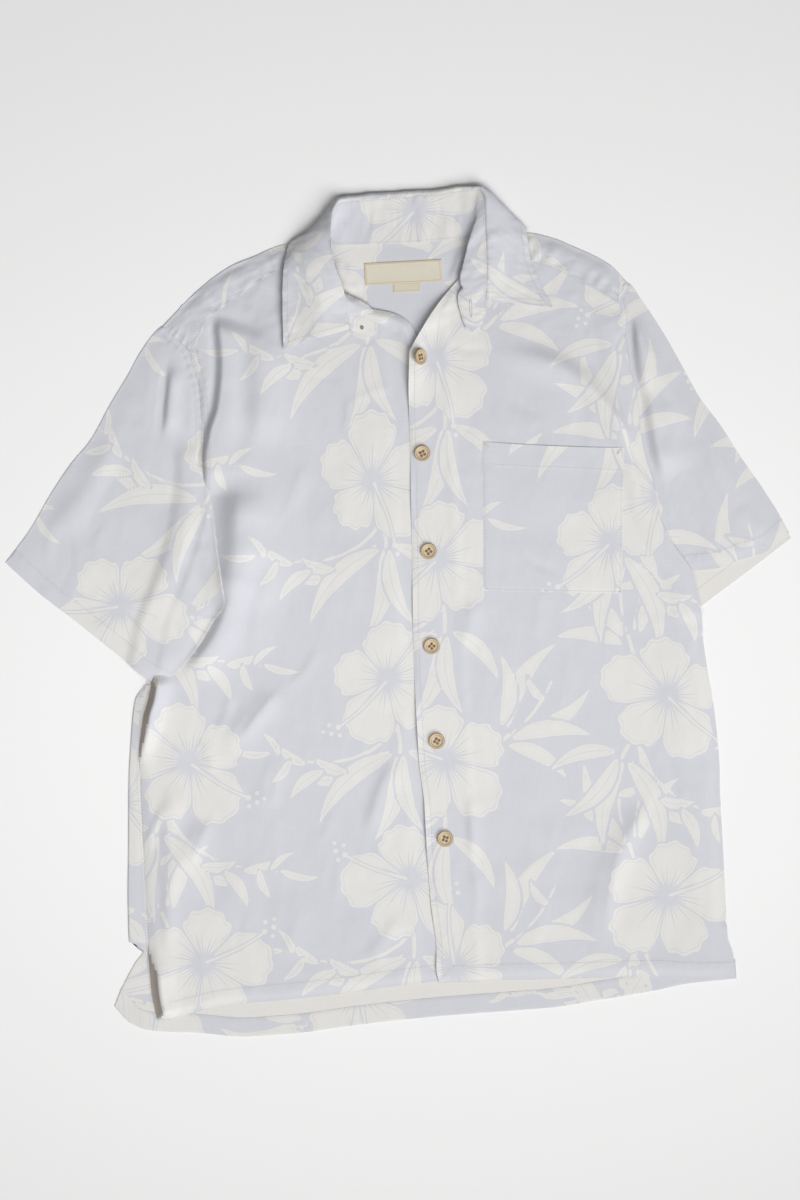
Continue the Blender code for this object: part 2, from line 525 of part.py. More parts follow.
def build_yoke(made, root):
    """Yoke: one layer behind the neck, turned over each shoulder to its front seam."""
    x = np.array(YOKE_COLUMNS, float)
    fold = np.stack([x, by_x(YOKE_FOLD, x)], axis=1)
    share = (x - x[0]) / (x[-1] - x[0])
    low = np.stack([-187 + share * 401.0, np.full(len(x), YOKE_BOTTOM)], axis=1)
    first, last = YOKE_NECK
    seam = fold.copy()
    left = share[:first + 1] / share[first]
    seam[:first + 1, 0] = -189 + left * 125
    seam[:first + 1, 1] = by_x(RIGHT_FRONT_TOP, seam[:first + 1, 0]) + 2 * GAP
    right = (share[last:] - share[last]) / (1 - share[last])
    seam[last:, 0] = 91 + right * 130
    seam[last:, 1] = by_x(LEFT_FRONT_TOP, seam[last:, 0]) + 2 * GAP
    outer, inner = [], []

    def fitted(point):
        """Row of points with its ends moved onto the two armhole sides."""
        start = by_y(YOKE_SIDE_RIGHT, point[0, 1]) - point[0, 0]
        stop = by_y(YOKE_SIDE_LEFT, point[-1, 1]) - point[-1, 0]
        point = point.copy()
        point[:, 0] += start * (1 - share)**4 + stop * share**4
        return point

    def under_row(point, z_out, z_in):
        outer.append(np.column_stack([point, z_out]))
        inner.append(np.column_stack([point, z_in]))

    for t in YOKE_ROWS:
        point = low + t * (fold - low)
        if t == 1.0:
            neck = (np.arange(len(x)) > first) & (np.arange(len(x)) < last)
            point = point - np.outer(np.where(neck, 0.0, EDGE), (0, 1))
        point = fitted(point)
        z = neck_lift(point[:, 0], point[:, 1])
        under_row(point, z, thicken(neck_lift, point[:, 0], point[:, 1]))
    rise = lambda a, b: REST + cloth_rise(a, b)
    fold = fitted(fold)
    begin = fold - np.array([0, EDGE])
    top = thicken(rise, begin[:, 0], begin[:, 1])
    bottom = neck_lift(begin[:, 0], begin[:, 1])
    outer.append(np.column_stack([fold, 0.5 * (top + bottom)]))
    inner.append(np.column_stack([fold - np.array([0, WALL]), 0.5 * (top + bottom)]))
    for t in [0.0] + FLAP_ROWS:
        point = fitted(begin + t * (seam - begin))
        under_row(point, thicken(rise, point[:, 0], point[:, 1]), rise(point[:, 0], point[:, 1]))
    turn = len(YOKE_ROWS) - 1
    bm = wall(np.array(outer), np.array(inner),
              lambda r, c: r < turn or c < first or c >= last)
    return place("yoke", bm, made, root)


def sleeve_tube(grid, low, puff, hidden_rows):
    """Flattened tube over a plan grid: upper layer, underarm fold, lower layer, shoulder fold."""
    count = grid.shape[1]
    step = grid[:, 1] - grid[:, 0]
    unit = step / np.linalg.norm(step, axis=1)[:, None]
    step_in = grid[:, -2] - grid[:, -1]
    unit_in = step_in / np.linalg.norm(step_in, axis=1)[:, None]
    body = np.concatenate([(grid[:, 0] + unit * EDGE)[:, None], grid[:, 1:-1],
                           (grid[:, -1] + unit_in * EDGE)[:, None]], axis=1)
    x, y = body[:, :, 0], body[:, :, 1]
    z0 = low(x, y)
    z1 = thicken(low, x, y)
    ceiling = lambda a, b: thicken(low, a, b) + puff(a, b)
    z2 = ceiling(x, y)
    z3 = thicken(ceiling, x, y)
    lower_out, lower_in = np.dstack([x, y, z0]), np.dstack([x, y, z1])
    upper_out, upper_in = np.dstack([x, y, z3]), np.dstack([x, y, z2])

    def apex(edge, unit_edge, column):
        middle = 0.5 * (z0[:, column] + z3[:, column])
        out = np.column_stack([edge, middle])
        into = np.column_stack([edge + unit_edge * WALL, middle])
        return out[:, None], into[:, None]

    inner_out, inner_in = apex(grid[:, -1], unit_in, -1)
    outer_out, outer_in = apex(grid[:, 0], unit, 0)
    outer = np.concatenate([upper_out, inner_out, lower_out[:, ::-1], outer_out], axis=1)
    inner = np.concatenate([upper_in, inner_in, lower_in[:, ::-1], outer_in], axis=1)
    total = outer.shape[1]
    stop = grid.shape[0] - 1 - hidden_rows

    def keep(r, c):
        above = c < count or c == total - 1
        return r < stop or not above

    return wall(outer, inner, keep, cyclic=True)


def build_right_sleeve(made, root):
    """Wearer's right sleeve, whose underarm fold lies over the front."""
    rows = np.linspace(0, 1, 14)
    grid = coons(RIGHT_ARMHOLE, RIGHT_CUFF, RIGHT_SLEEVE_OUT, RIGHT_SLEEVE_IN, rows,
                 np.linspace(0, 1, 13))

    def low(x, y):
        over = smooth((x - by_y(RIGHT_FRONT_SIDE, y) + 30) / 13) * smooth((176 - y) / 24)
        return over * (thicken(right_front_under, x, y) + GAP + 0.35)

    def puff(x, y):
        out = np.min([np.hypot(x - p[0], y - p[1]) for p in along(RIGHT_SLEEVE_OUT, 40)], axis=0)
        into = np.min([np.hypot(x - p[0], y - p[1]) for p in along(RIGHT_SLEEVE_IN, 40)], axis=0)
        top = np.min([np.hypot(x - p[0], y - p[1]) for p in along(RIGHT_ARMHOLE, 40)], axis=0)
        inside = smooth(out / 14) * smooth(into / 14) * smooth(top / 10)
        raw = SLEEVE_LOFT + fold_height(SLEEVE_FOLDS, x, y)
        return 0.35 + inside * np.maximum(raw, 0.0)

    return place("sleeve_right", sleeve_tube(grid, low, puff, 0), made, root)


def build_left_sleeve(made, root):
    """Wearer's left sleeve, tucked under the front; its lower layer shows past the cuff."""
    rows = np.linspace(0, 1, 12)
    columns = np.linspace(0, 1, 11)
    body = coons(LEFT_ARMHOLE, LEFT_CUFF_TOP, LEFT_SLEEVE_OUT[:-1] + [(371, 53)],
                 LEFT_SLEEVE_IN[:-2] + [(264, 16)], rows, columns)
    tail = coons(LEFT_CUFF_TOP, LEFT_CUFF, [(371, 53), (374, 49)],
                 [(264, 16), (268, -5), (272.6, -21)], [0.5, 1.0], columns)
    grid = np.concatenate([body, tail])

    def puff(x, y):
        out = np.min([np.hypot(x - p[0], y - p[1]) for p in along(LEFT_SLEEVE_OUT, 40)], axis=0)
        into = x - by_y(LEFT_FRONT_SIDE, y)
        top = np.min([np.hypot(x - p[0], y - p[1]) for p in along(LEFT_ARMHOLE[:4], 20)], axis=0)
        inside = smooth(out / 14) * smooth((into - 2) / 12) * smooth(top / 10)
        raw = SLEEVE_LOFT + fold_height(SLEEVE_FOLDS, x, y)
        return 0.35 + inside * np.maximum(raw, 0.0)

    bm = sleeve_tube(grid, lambda x, y: 0.0 * x, puff, 2)
    return place("sleeve_left", bm, made, root)


def ribbon(table, stations, across, thickness=WALL):
    """Bent strip through a table of sections, as a wall about its middle surface."""
    table = np.array(table, float)
    points = table.reshape(len(table), -1, 3)
    lengths = np.linalg.norm(np.diff(points.mean(axis=1), axis=0), axis=1)
    knots = np.r_[0.0, np.cumsum(lengths)]
    at = np.linspace(0, knots[-1], stations)
    around = blend(table, knots, at).reshape(stations, -1, 3)
    middle = []
    for section in around:
        span = np.r_[0.0, np.cumsum(np.linalg.norm(np.diff(section, axis=0), axis=1))]
        middle.append(blend(section, span / span[-1], np.linspace(0, 1, across)))
    middle = np.array(middle)
    middle[:, :, 2] = np.maximum(middle[:, :, 2], 0.5 * thickness)
    du = np.gradient(middle, axis=0)
    dv = np.gradient(middle, axis=1)
    normal = np.cross(du, dv)
    normal /= np.linalg.norm(normal, axis=2)[:, :, None]
    return middle + 0.5 * thickness * normal, middle - 0.5 * thickness * normal


def build_stand(made, root):
    """Collar stand, from tab to tab round the neck."""
    outer, inner = ribbon(STAND, 34, 6)
    return place("collar_stand", wall(outer, inner), made, root)


def build_leaf(made, root):
    """Collar leaf, spread over both shoulders and folded under behind the neck."""
    outer, inner = ribbon(LEAF, 34, 8)
    outer[:, :, 2] = np.maximum(outer[:, :, 2], 0.0)
    inner[:, :, 2] = np.maximum(inner[:, :, 2], 0.0)
    return place("collar_leaf", wall(outer, inner), made, root)


def build_pocket(made, root):
    """Breast pocket, a patch over the left front."""
    a, b, c, d = [np.array(p, float) for p in POCKET]
    u = np.linspace(0, 1, 9)[None, :, None]
    v = np.linspace(0, 1, 9)[:, None, None]
    grid = (1 - v) * ((1 - u) * a + u * b) + v * ((1 - u) * d + u * c)
    under = lambda x, y: thicken(left_front_under, x, y) + GAP
    outer, inner = raised(grid, under, lambda x, y: thicken(under, x, y))
    return place("pocket", wall(outer, inner), made, root)


def build_label(name, spec, made, root):
    """Small woven patch on the inside of the yoke."""
    cx, cy, width, height, turn = spec
    u = np.linspace(-0.5, 0.5, 7)[None, :] * width
    v = np.linspace(-0.5, 0.5, 5)[:, None] * height
    angle = math.radians(turn)
    x = cx + u * math.cos(angle) - v * math.sin(angle)
    y = cy + u * math.sin(angle) + v * math.cos(angle)
    under = lambda a, b: thicken(neck_lift, a, b) + GAP
    z = under(x, y)
    outer = np.dstack([x, y, z + WALL])
    inner = np.dstack([x, y, z])
    return place(name, wall(outer, inner), made, root)


def button_mesh(made):
    """Four-hole button with a raised rim, turned and then drilled."""
    profile = [(0.0, 0.0), (6.4, 0.0), (7.6, 1.0), (7.2, BUTTON_HEIGHT),
               (6.0, BUTTON_HEIGHT), (5.2, 2.2), (0.0, 2.2)]
    bm = bmesh.new()
    verts = [bm.verts.new((r * MM, 0.0, z * MM)) for r, z in profile]
    edges = [bm.edges.new(pair) for pair in zip(verts[:-1], verts[1:])]
    bmesh.ops.spin(bm, geom=verts + edges, angle=math.tau, steps=16, axis=(0, 0, 1),
                   cent=(0, 0, 0), use_merge=True)
    bmesh.ops.remove_doubles(bm, verts=bm.verts, dist=1e-6)
    bmesh.ops.recalc_face_normals(bm, faces=bm.faces)
    turned = bpy.data.meshes.new("button_turned")
    bm.to_mesh(turned)
    bm.free()
    blank = bpy.data.objects.new("button_blank", turned)
    bpy.context.scene.collection.objects.link(blank)
    bm = bmesh.new()
    for sx in (-1, 1):
        for sy in (-1, 1):
            spot = Matrix.Translation(Vector((sx * HOLE_OFFSET, sy * HOLE_OFFSET, 1.0)) * MM)
            bmesh.ops.create_cone(bm, cap_ends=True, segments=6, radius1=HOLE_RADIUS * MM,
                                  radius2=HOLE_RADIUS * MM, depth=8 * MM, matrix=spot)
    drill = bpy.data.meshes.new("button_drill")
    bm.to_mesh(drill)
    bm.free()
    cutter = bpy.data.objects.new("button_drill", drill)
    bpy.context.scene.collection.objects.link(cutter)
    cutter.hide_render = True
    cutter.display_type = "WIRE"
    cut = blank.modifiers.new("holes", "BOOLEAN")
    cut.operation = "DIFFERENCE"
    cut.solver = "EXACT"
    cut.object = cutter
    bpy.context.view_layer.update()
    graph = bpy.context.evaluated_depsgraph_get()
    mesh = bpy.data.meshes.new_from_object(blank.evaluated_get(graph))
    bpy.data.objects.remove(blank)
    bpy.data.objects.remove(cutter)
    mesh.name = "button"
    mesh.materials.clear()
    mesh.materials.append(made)
    mesh.shade_smooth()
    mesh.set_sharp_from_angle(angle=math.radians(35))
    return mesh


def build_buttons(made, root):
    """Six buttons down the left front, each on the cloth under it."""
    mesh = button_mesh(made)
    for index, (x, y) in enumerate(BUTTONS, start=1):
        turn = np.linspace(0, math.tau, 24, endpoint=False)
        dx = np.concatenate([r * np.cos(turn) for r in (2.5, 5.0, BUTTON_RADIUS)])
        dy = np.concatenate([r * np.sin(turn) for r in (2.5, 5.0, BUTTON_RADIUS)])
        top = thicken(left_front_under, x + dx, y + dy)
        slope_x, slope_y, _ = np.linalg.lstsq(np.column_stack([dx, dy, dx * 0 + 1]), top, None)[0]
        lift = float((top - slope_x * dx - slope_y * dy).max()) + GAP * (1 + 2 * abs(slope_x))
        normal = Vector((-slope_x, -slope_y, 1.0))
        obj = bpy.data.objects.new(f"button_{index}", mesh)
        obj.parent = root
        obj.location = Vector((x, y, lift)) * MM
        tilt = Vector((0, 0, 1)).rotation_difference(normal)
        obj.rotation_euler = (tilt.to_matrix() @ Matrix.Rotation(0.2 * index, 3, "Z")).to_euler()
        bpy.context.scene.collection.objects.link(obj)


def main():
    for old in list(bpy.data.objects):
        bpy.data.objects.remove(old, do_unlink=True)
    root = bpy.data.objects.new("shirt", None)
    bpy.context.scene.collection.objects.link(root)
    lavender = (0.62, 0.64, 0.74)
    cloth = {name: material(name, lavender, 0.85) for name in (
        "back_cloth", "yoke_cloth", "right_front_cloth", "left_front_cloth",
        "right_sleeve_cloth", "left_sleeve_cloth", "stand_cloth", "leaf_cloth",
        "pocket_cloth")}
    cream = material("label_weave", (0.78, 0.70, 0.50), 0.8)
    tag = material("tag_weave", (0.80, 0.76, 0.62), 0.8)
    wood = material("button_wood", (0.50, 0.36, 0.20), 0.45)
    build_back(cloth["back_cloth"], root)
    build_yoke(cloth["yoke_cloth"], root)
    build_right_front(cloth["right_front_cloth"], root)
    build_left_front(cloth["left_front_cloth"], root)
    build_right_sleeve(cloth["right_sleeve_cloth"], root)
    build_left_sleeve(cloth["left_sleeve_cloth"], root)
    build_stand(cloth["stand_cloth"], root)
    build_leaf(cloth["leaf_cloth"], root)
    build_pocket(cloth["pocket_cloth"], root)
    build_label("label", LABEL, cream, root)
    build_label("size_tag", SIZE_TAG, tag, root)
    build_buttons(wood, root)


main()
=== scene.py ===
"""Looks of a short-sleeved hawaiian shirt that lies buttoned on its back.

The cloth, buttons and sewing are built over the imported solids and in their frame: +X to the
wearer's left, +Y to the collar, +Z up. Tables are in millimetres.
"""
import math

import bmesh
import bpy
import numpy as np
from mathutils import Matrix, Vector


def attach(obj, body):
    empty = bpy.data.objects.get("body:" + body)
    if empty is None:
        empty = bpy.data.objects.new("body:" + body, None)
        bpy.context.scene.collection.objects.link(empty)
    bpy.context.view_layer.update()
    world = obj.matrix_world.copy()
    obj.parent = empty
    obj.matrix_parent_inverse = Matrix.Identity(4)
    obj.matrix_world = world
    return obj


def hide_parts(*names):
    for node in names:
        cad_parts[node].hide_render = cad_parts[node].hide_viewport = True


bl_info = {
    "name": "Hawaiian shirt",
    "version": (1, 0, 0),
    "blender": (4, 5, 0),
    "location": "3D View > Sidebar > Shirt",
    "description": "Makes the cloth, collar, pocket, buttons and sewing of a shirt laid flat",
    "category": "Add Mesh",
}

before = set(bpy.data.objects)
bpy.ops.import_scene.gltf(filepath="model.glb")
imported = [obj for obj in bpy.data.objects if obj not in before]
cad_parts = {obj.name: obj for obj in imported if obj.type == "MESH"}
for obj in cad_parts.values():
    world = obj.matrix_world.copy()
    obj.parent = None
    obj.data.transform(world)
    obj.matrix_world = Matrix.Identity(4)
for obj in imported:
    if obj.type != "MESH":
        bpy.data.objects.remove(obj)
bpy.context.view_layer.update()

MM = 0.001
WALL = 1.0            # top of a layer over its underside
REST = 1.35           # underside of a front panel over the flat back
GAP = 0.4             # clearance between pieces
EDGE = 1.3            # how far a turned edge reaches in before it lies flat
LEAF_LIFT = 1.4       # rise of the yoke over the collar leaf that is folded under it
LAP_LIFT = 1.45       # rise of the button front over the front beneath it
TUCK_LIFT = 1.5       # rise of the front over the sleeve that is tucked under it

# ---- outlines, as (x, y) -------------------------------------------------------------------

# Turned edge of the back on the wearer's right, from hem to underarm and up the armhole.
BACK_SIDE_RIGHT = [
    (-293, -362), (-282, -344), (-271, -324), (-278, -302), (-275, -261), (-272, -214),
    (-268, -148), (-264, -110), (-258, -72), (-248, -57), (-240, -40), (-228, 0),
    (-205, 50), (-187, 100), (-180.5, 152), (-180, 214), (-185, 235)]

# Free edge of the back on the wearer's left, which the front's turned edge meets.
BACK_SIDE_LEFT = [
    (298, -367), (296, -347), (291, -334), (280, -326), (280, -292), (280, -244),
    (281, -159), (277, -92), (272, -44), (270, -22), (264.5, -5), (252.5, 30), (236.5, 60),
    (229.5, 100), (223, 134), (220, 158), (218, 192), (213, 216), (212, 235)]

BACK_HEM = [
    (-293, -362), (-279, -378), (-261, -386), (-214, -391), (-166, -397), (-119, -396),
    (-71, -392), (-23, -389), (25, -387), (72, -386), (120, -385), (168, -380),
    (215, -375), (254, -369), (298, -367)]

# Wearer's right front: side seam, then armhole; it runs on under the other front.
RIGHT_FRONT_SIDE = [
    (-253, -377), (-257, -348), (-258, -302), (-258, -205), (-257, -129), (-252, -91),
    (-245, -70), (-240, -48), (-228, 0), (-205, 50), (-188, 100), (-181, 152),
    (-181, 214), (-186, 243), (-189, 257)]
RIGHT_FRONT_LAP = [(47, -354), (47, 236)]
RIGHT_FRONT_HEM = [
    (-253, -377), (-232, -374), (-188, -366), (-117, -363), (-69, -360), (-21, -356),
    (14, -354), (47, -354)]
RIGHT_FRONT_TOP = [
    (-189, 257), (-172, 284), (-150, 300), (-125, 316), (-96, 330), (-80, 333),
    (-64, 331), (-60, 319), (-49, 305), (-31, 293), (-13, 287), (8, 281), (22, 271),
    (29, 258), (47, 236)]

# Wearer's left front: button edge, then the outer side up to the armhole.
LEFT_FRONT_EDGE = [
    (16, -355), (14, -344), (15, -320), (12, -277), (11, -229), (11, -186), (8, -143),
    (8, -86), (9, -29), (12, 47), (14, 104), (16, 161), (17, 203), (20, 244)]
LEFT_FRONT_SIDE = [
    (297, -366), (296, -345), (291.5, -325), (292, -292), (292, -244), (292, -197),
    (293, -159), (292, -130), (289, -92), (286, -68), (284, -44), (283, -13), (281, -2),
    (277, 21), (270, 33), (258, 52), (248, 77), (244, 110), (238, 134), (235, 158),
    (233, 192), (228, 216), (226, 240), (223, 263), (221, 281)]
LEFT_FRONT_HEM = [
    (16, -355), (74, -356), (131, -358), (169, -359), (216, -360), (263, -365), (297, -366)]
LEFT_FRONT_TOP = [
    (20, 244), (24, 251), (49, 287), (69, 309), (80, 319), (91, 327), (100, 329),
    (120, 329), (138, 326), (160, 319), (195, 298), (221, 281)]

# Yoke: its two armhole sides, the shoulder folds and, between them, the back of the neck.
YOKE_SIDE_RIGHT = [
    (-184.4, 235.4), (-184.4, 245), (-188.8, 257.5), (-201.8, 269.5), (-213.4, 282.4)]
YOKE_SIDE_LEFT = [
    (212.5, 235.4), (221, 252.5), (222, 268), (220, 282.6), (230.4, 299)]
YOKE_FOLD = [
    (-215, 281), (-205, 291), (-185, 309), (-165, 324), (-146, 335), (-126, 342),
    (-97, 352), (-88, 353), (-84, 349.5), (-76, 346.5), (-66, 345), (-56, 350),
    (-46, 351), (-7, 350), (26, 349), (66, 350), (82, 351), (91, 345), (100, 343),
    (116, 343.5), (131, 347), (138, 351), (159, 346), (183, 335), (206, 323),
    (217, 315), (231, 299)]
YOKE_BOTTOM = 235.0 + GAP

# Sleeves: shoulder fold, underarm fold, armhole and cuff.
RIGHT_SLEEVE_OUT = [
    (-215.5, 280), (-235, 258), (-248, 237), (-267, 209), (-287, 177), (-308, 154),
    (-328, 127), (-349, 95), (-374, 65)]
RIGHT_SLEEVE_IN = [
    (-182, 152), (-178, 133), (-175, 104), (-173, 76), (-169, 37), (-167, 13),
    (-178, -2), (-194, -25), (-214, -46), (-234, -58)]
RIGHT_ARMHOLE = [
    (-215.5, 280), (-203, 268), (-191.5, 256), (-187.5, 243), (-182, 214), (-182, 180),
    (-182, 152)]
RIGHT_CUFF = [
    (-374, 65), (-343, 34), (-306, 2), (-270, -30), (-246, -52), (-234, -58)]
LEFT_SLEEVE_OUT = [
    (232, 298), (242, 283), (250, 270), (263, 247), (276, 221), (293, 186), (311, 159),
    (328, 129), (346, 100), (363, 70), (374, 49)]
LEFT_SLEEVE_IN = [(232.6, 100), (239.6, 60), (255.6, 30), (267.6, -5), (272.6, -21)]
LEFT_ARMHOLE = [
    (232, 298), (222, 282), (224, 268), (223, 252), (215, 235), (215.6, 216),
    (220.6, 192), (222.6, 158), (225.6, 134), (232.6, 100)]
LEFT_CUFF = [(374, 49), (329, 18), (283, -13), (272.6, -21)]
LEFT_CUFF_TOP = [(371, 53), (347, 36), (323, 30), (299, 23), (278, 22), (264, 16)]

# Breast pocket: its four corners, from the top edge's inner end round to the hem side.
POCKET = [(85, 155), (218, 142), (209, 4), (78, 14)]

# Woven label and size tag inside the neck: centre, width, height and turn in degrees.
LABEL = (18.3, 319.5, 73, 21, 0.0)
SIZE_TAG = (21.0, 304.0, 26, 7, 0.0)

# Centres of the buttons down the front, and how far their holes lie from the middle in X and Y.
BUTTONS = [(29, 238), (27, 147), (28, 54), (26, -36), (26, -126), (29, -219)]
HOLE_OUT = 1.6
HOLE_RADIUS = 0.85
TOP_BUTTON_TILT = 0.48   # radians; the open neck pulls at it
TOP_BUTTON_ARM = 6.2     # distance from its middle to the edge that it tilts about
CORNER = math.radians(50)   # edges of a button that are sharper than this stay crisp

# Worked buttonhole of the left tab: centre, half width and half length. Knot of the right tab.
BUTTONHOLE = (80.6, 281.5, 0.95, 8.2)
KNOT = (-23.6, 269.2)

# ---- heights -------------------------------------------------------------------------------

# Folds of the front, each along three points: (x, y) three times, height, and its reach
# to the left and right of its line.
FOLDS = [
    # x0,  y0,   x1,   y1,   x2,   y2,  height, left, right
    (-122, 296, -121, 225, -130, 150, 3.8, 12, 26),
    (-190, 250, -180, 200, -186, 120, 1.0, 10, 7),
    (-128, 280, -131, 220, -138, 150, -1.3, 12, 12),
    (-150, 84, -135, 62, -100, 60, 2.2, 14, 14),
    (-104, 62, -132, 16, -144, -40, 2.0, 9, 15),
    (-118, -64, -146, -92, -180, -124, 2.4, 11, 15),
    (-128, -130, -136, -155, -143, -184, 1.5, 9, 10),
    (-198, -184, -212, -212, -224, -240, 2.0, 8, 12),
    (-226, -150, -232, -200, -226, -262, 2.6, 8, 12),
    (-12, -138, -30, -175, -42, -212, 1.5, 10, 12),
    (-60, 60, -20, 30, -4, -20, 1.0, 14, 16),
    (98, 243, 172, 216, 236, 132, 5.0, 14, 10),
    (110, 60, 150, 62, 190, 80, -0.6, 14, 14),
    (226, -186, 190, -246, 164, -330, 3.0, 14, 12),
    (56, -176, 53, -210, 50, -246, 1.3, 9, 10),
    (250, -40, 262, -110, 258, -180, 1.4, 16, 14),
    (74, 10, 64, -15, 54, -40, 1.0, 10, 10),
]
LOFT = 1.2            # general rise of the front over the back

# Neck edge of the left front, which rolls open above the top button, in the same columns.
ROLL = [(19, 190, 22, 248, 62, 302, 5.0, 11, 12)]

# Creases and swellings of the two sleeves, in the same columns.
SLEEVE_FOLDS = [
    (-198, 250, -205, 215, -208, 176, 1.8, 12, 7),
    (-250, 170, -268, 130, -300, 70, -0.9, 12, 12),
    (-262, 180, -290, 130, -330, 84, 1.6, 12, 12),
    (-200, 120, -214, 60, -250, -6, 2.6, 16, 16),
    (-318, 100, -316, 60, -336, 44, -1.2, 9, 9),
    (244, 250, 252, 215, 262, 180, 3.0, 9, 12),
    (258, 170, 274, 120, 292, 60, -1.4, 12, 12),
    (280, 190, 306, 130, 330, 70, 2.2, 14, 14),
    (322, 84, 336, 60, 346, 44, 1.4, 9, 9),
]
SLEEVE_LOFT = 0.5

# ---- collar --------------------------------------------------------------------------------

# Stand, from the wearer's right tab round the neck to the left tab: the neck seam, the
# middle and the upper seam of each section, each as x, y, z.
STAND = [
    # neck seam            middle               upper seam
    (-10.0, 263.0, 3.9, -22.0, 258.5, 4.0, -34.0, 264.0, 4.3),
    (-9.0, 274.0, 4.2, -22.0, 271.0, 5.0, -36.0, 273.0, 5.6),
    (-14.0, 287.0, 4.5, -25.0, 285.0, 6.5, -37.0, 284.0, 8.0),
    (-30.0, 298.0, 4.4, -35.0, 297.0, 8.0, -39.0, 298.0, 12.0),
    (-48.0, 310.0, 4.4, -46.0, 311.0, 9.5, -43.0, 313.0, 16.0),
    (-61.0, 328.0, 4.9, -56.0, 329.0, 11.0, -48.0, 330.0, 18.5),
    (-65.0, 342.0, 5.0, -60.0, 344.0, 11.0, -49.0, 346.0, 19.0),
    (-61.0, 353.0, 4.6, -56.0, 357.0, 10.5, -49.0, 360.0, 18.0),
    (-53.0, 353.0, 3.9, -50.0, 363.0, 9.0, -47.0, 371.0, 16.0),
    (-45.0, 349.0, 3.4, -44.0, 368.0, 6.5, -43.0, 382.0, 12.5),
    (-36.0, 348.5, 3.4, -36.0, 370.0, 5.3, -36.0, 389.0, 9.0),
    (-12.0, 348.0, 3.4, -12.0, 370.0, 4.5, -14.0, 390.5, 7.0),
    (19.0, 347.0, 3.4, 19.0, 370.0, 4.3, 19.0, 391.0, 6.5),
    (48.0, 347.5, 3.4, 49.0, 370.0, 4.5, 50.0, 391.0, 7.0),
    (70.0, 348.5, 3.4, 73.0, 370.0, 5.2, 77.0, 394.0, 8.0),
    (82.0, 351.0, 3.8, 88.0, 372.0, 8.0, 93.0, 394.0, 10.5),
    (91.0, 349.0, 4.4, 90.0, 366.0, 11.5, 98.5, 381.0, 12.5),
    (94.0, 340.0, 5.8, 84.0, 350.0, 12.0, 98.0, 364.0, 13.0),
    (91.0, 326.0, 5.9, 76.5, 328.0, 10.5, 98.0, 340.0, 12.5),
    (78.0, 308.0, 6.4, 71.5, 308.0, 9.0, 97.0, 316.0, 11.0),
    (68.5, 292.0, 6.8, 79.0, 292.0, 8.2, 96.0, 297.0, 9.4),
    (71.0, 276.0, 5.6, 82.0, 275.0, 6.2, 95.0, 280.0, 6.9),
    (75.0, 262.5, 4.8, 81.5, 259.5, 4.8, 90.0, 266.0, 5.0),
]

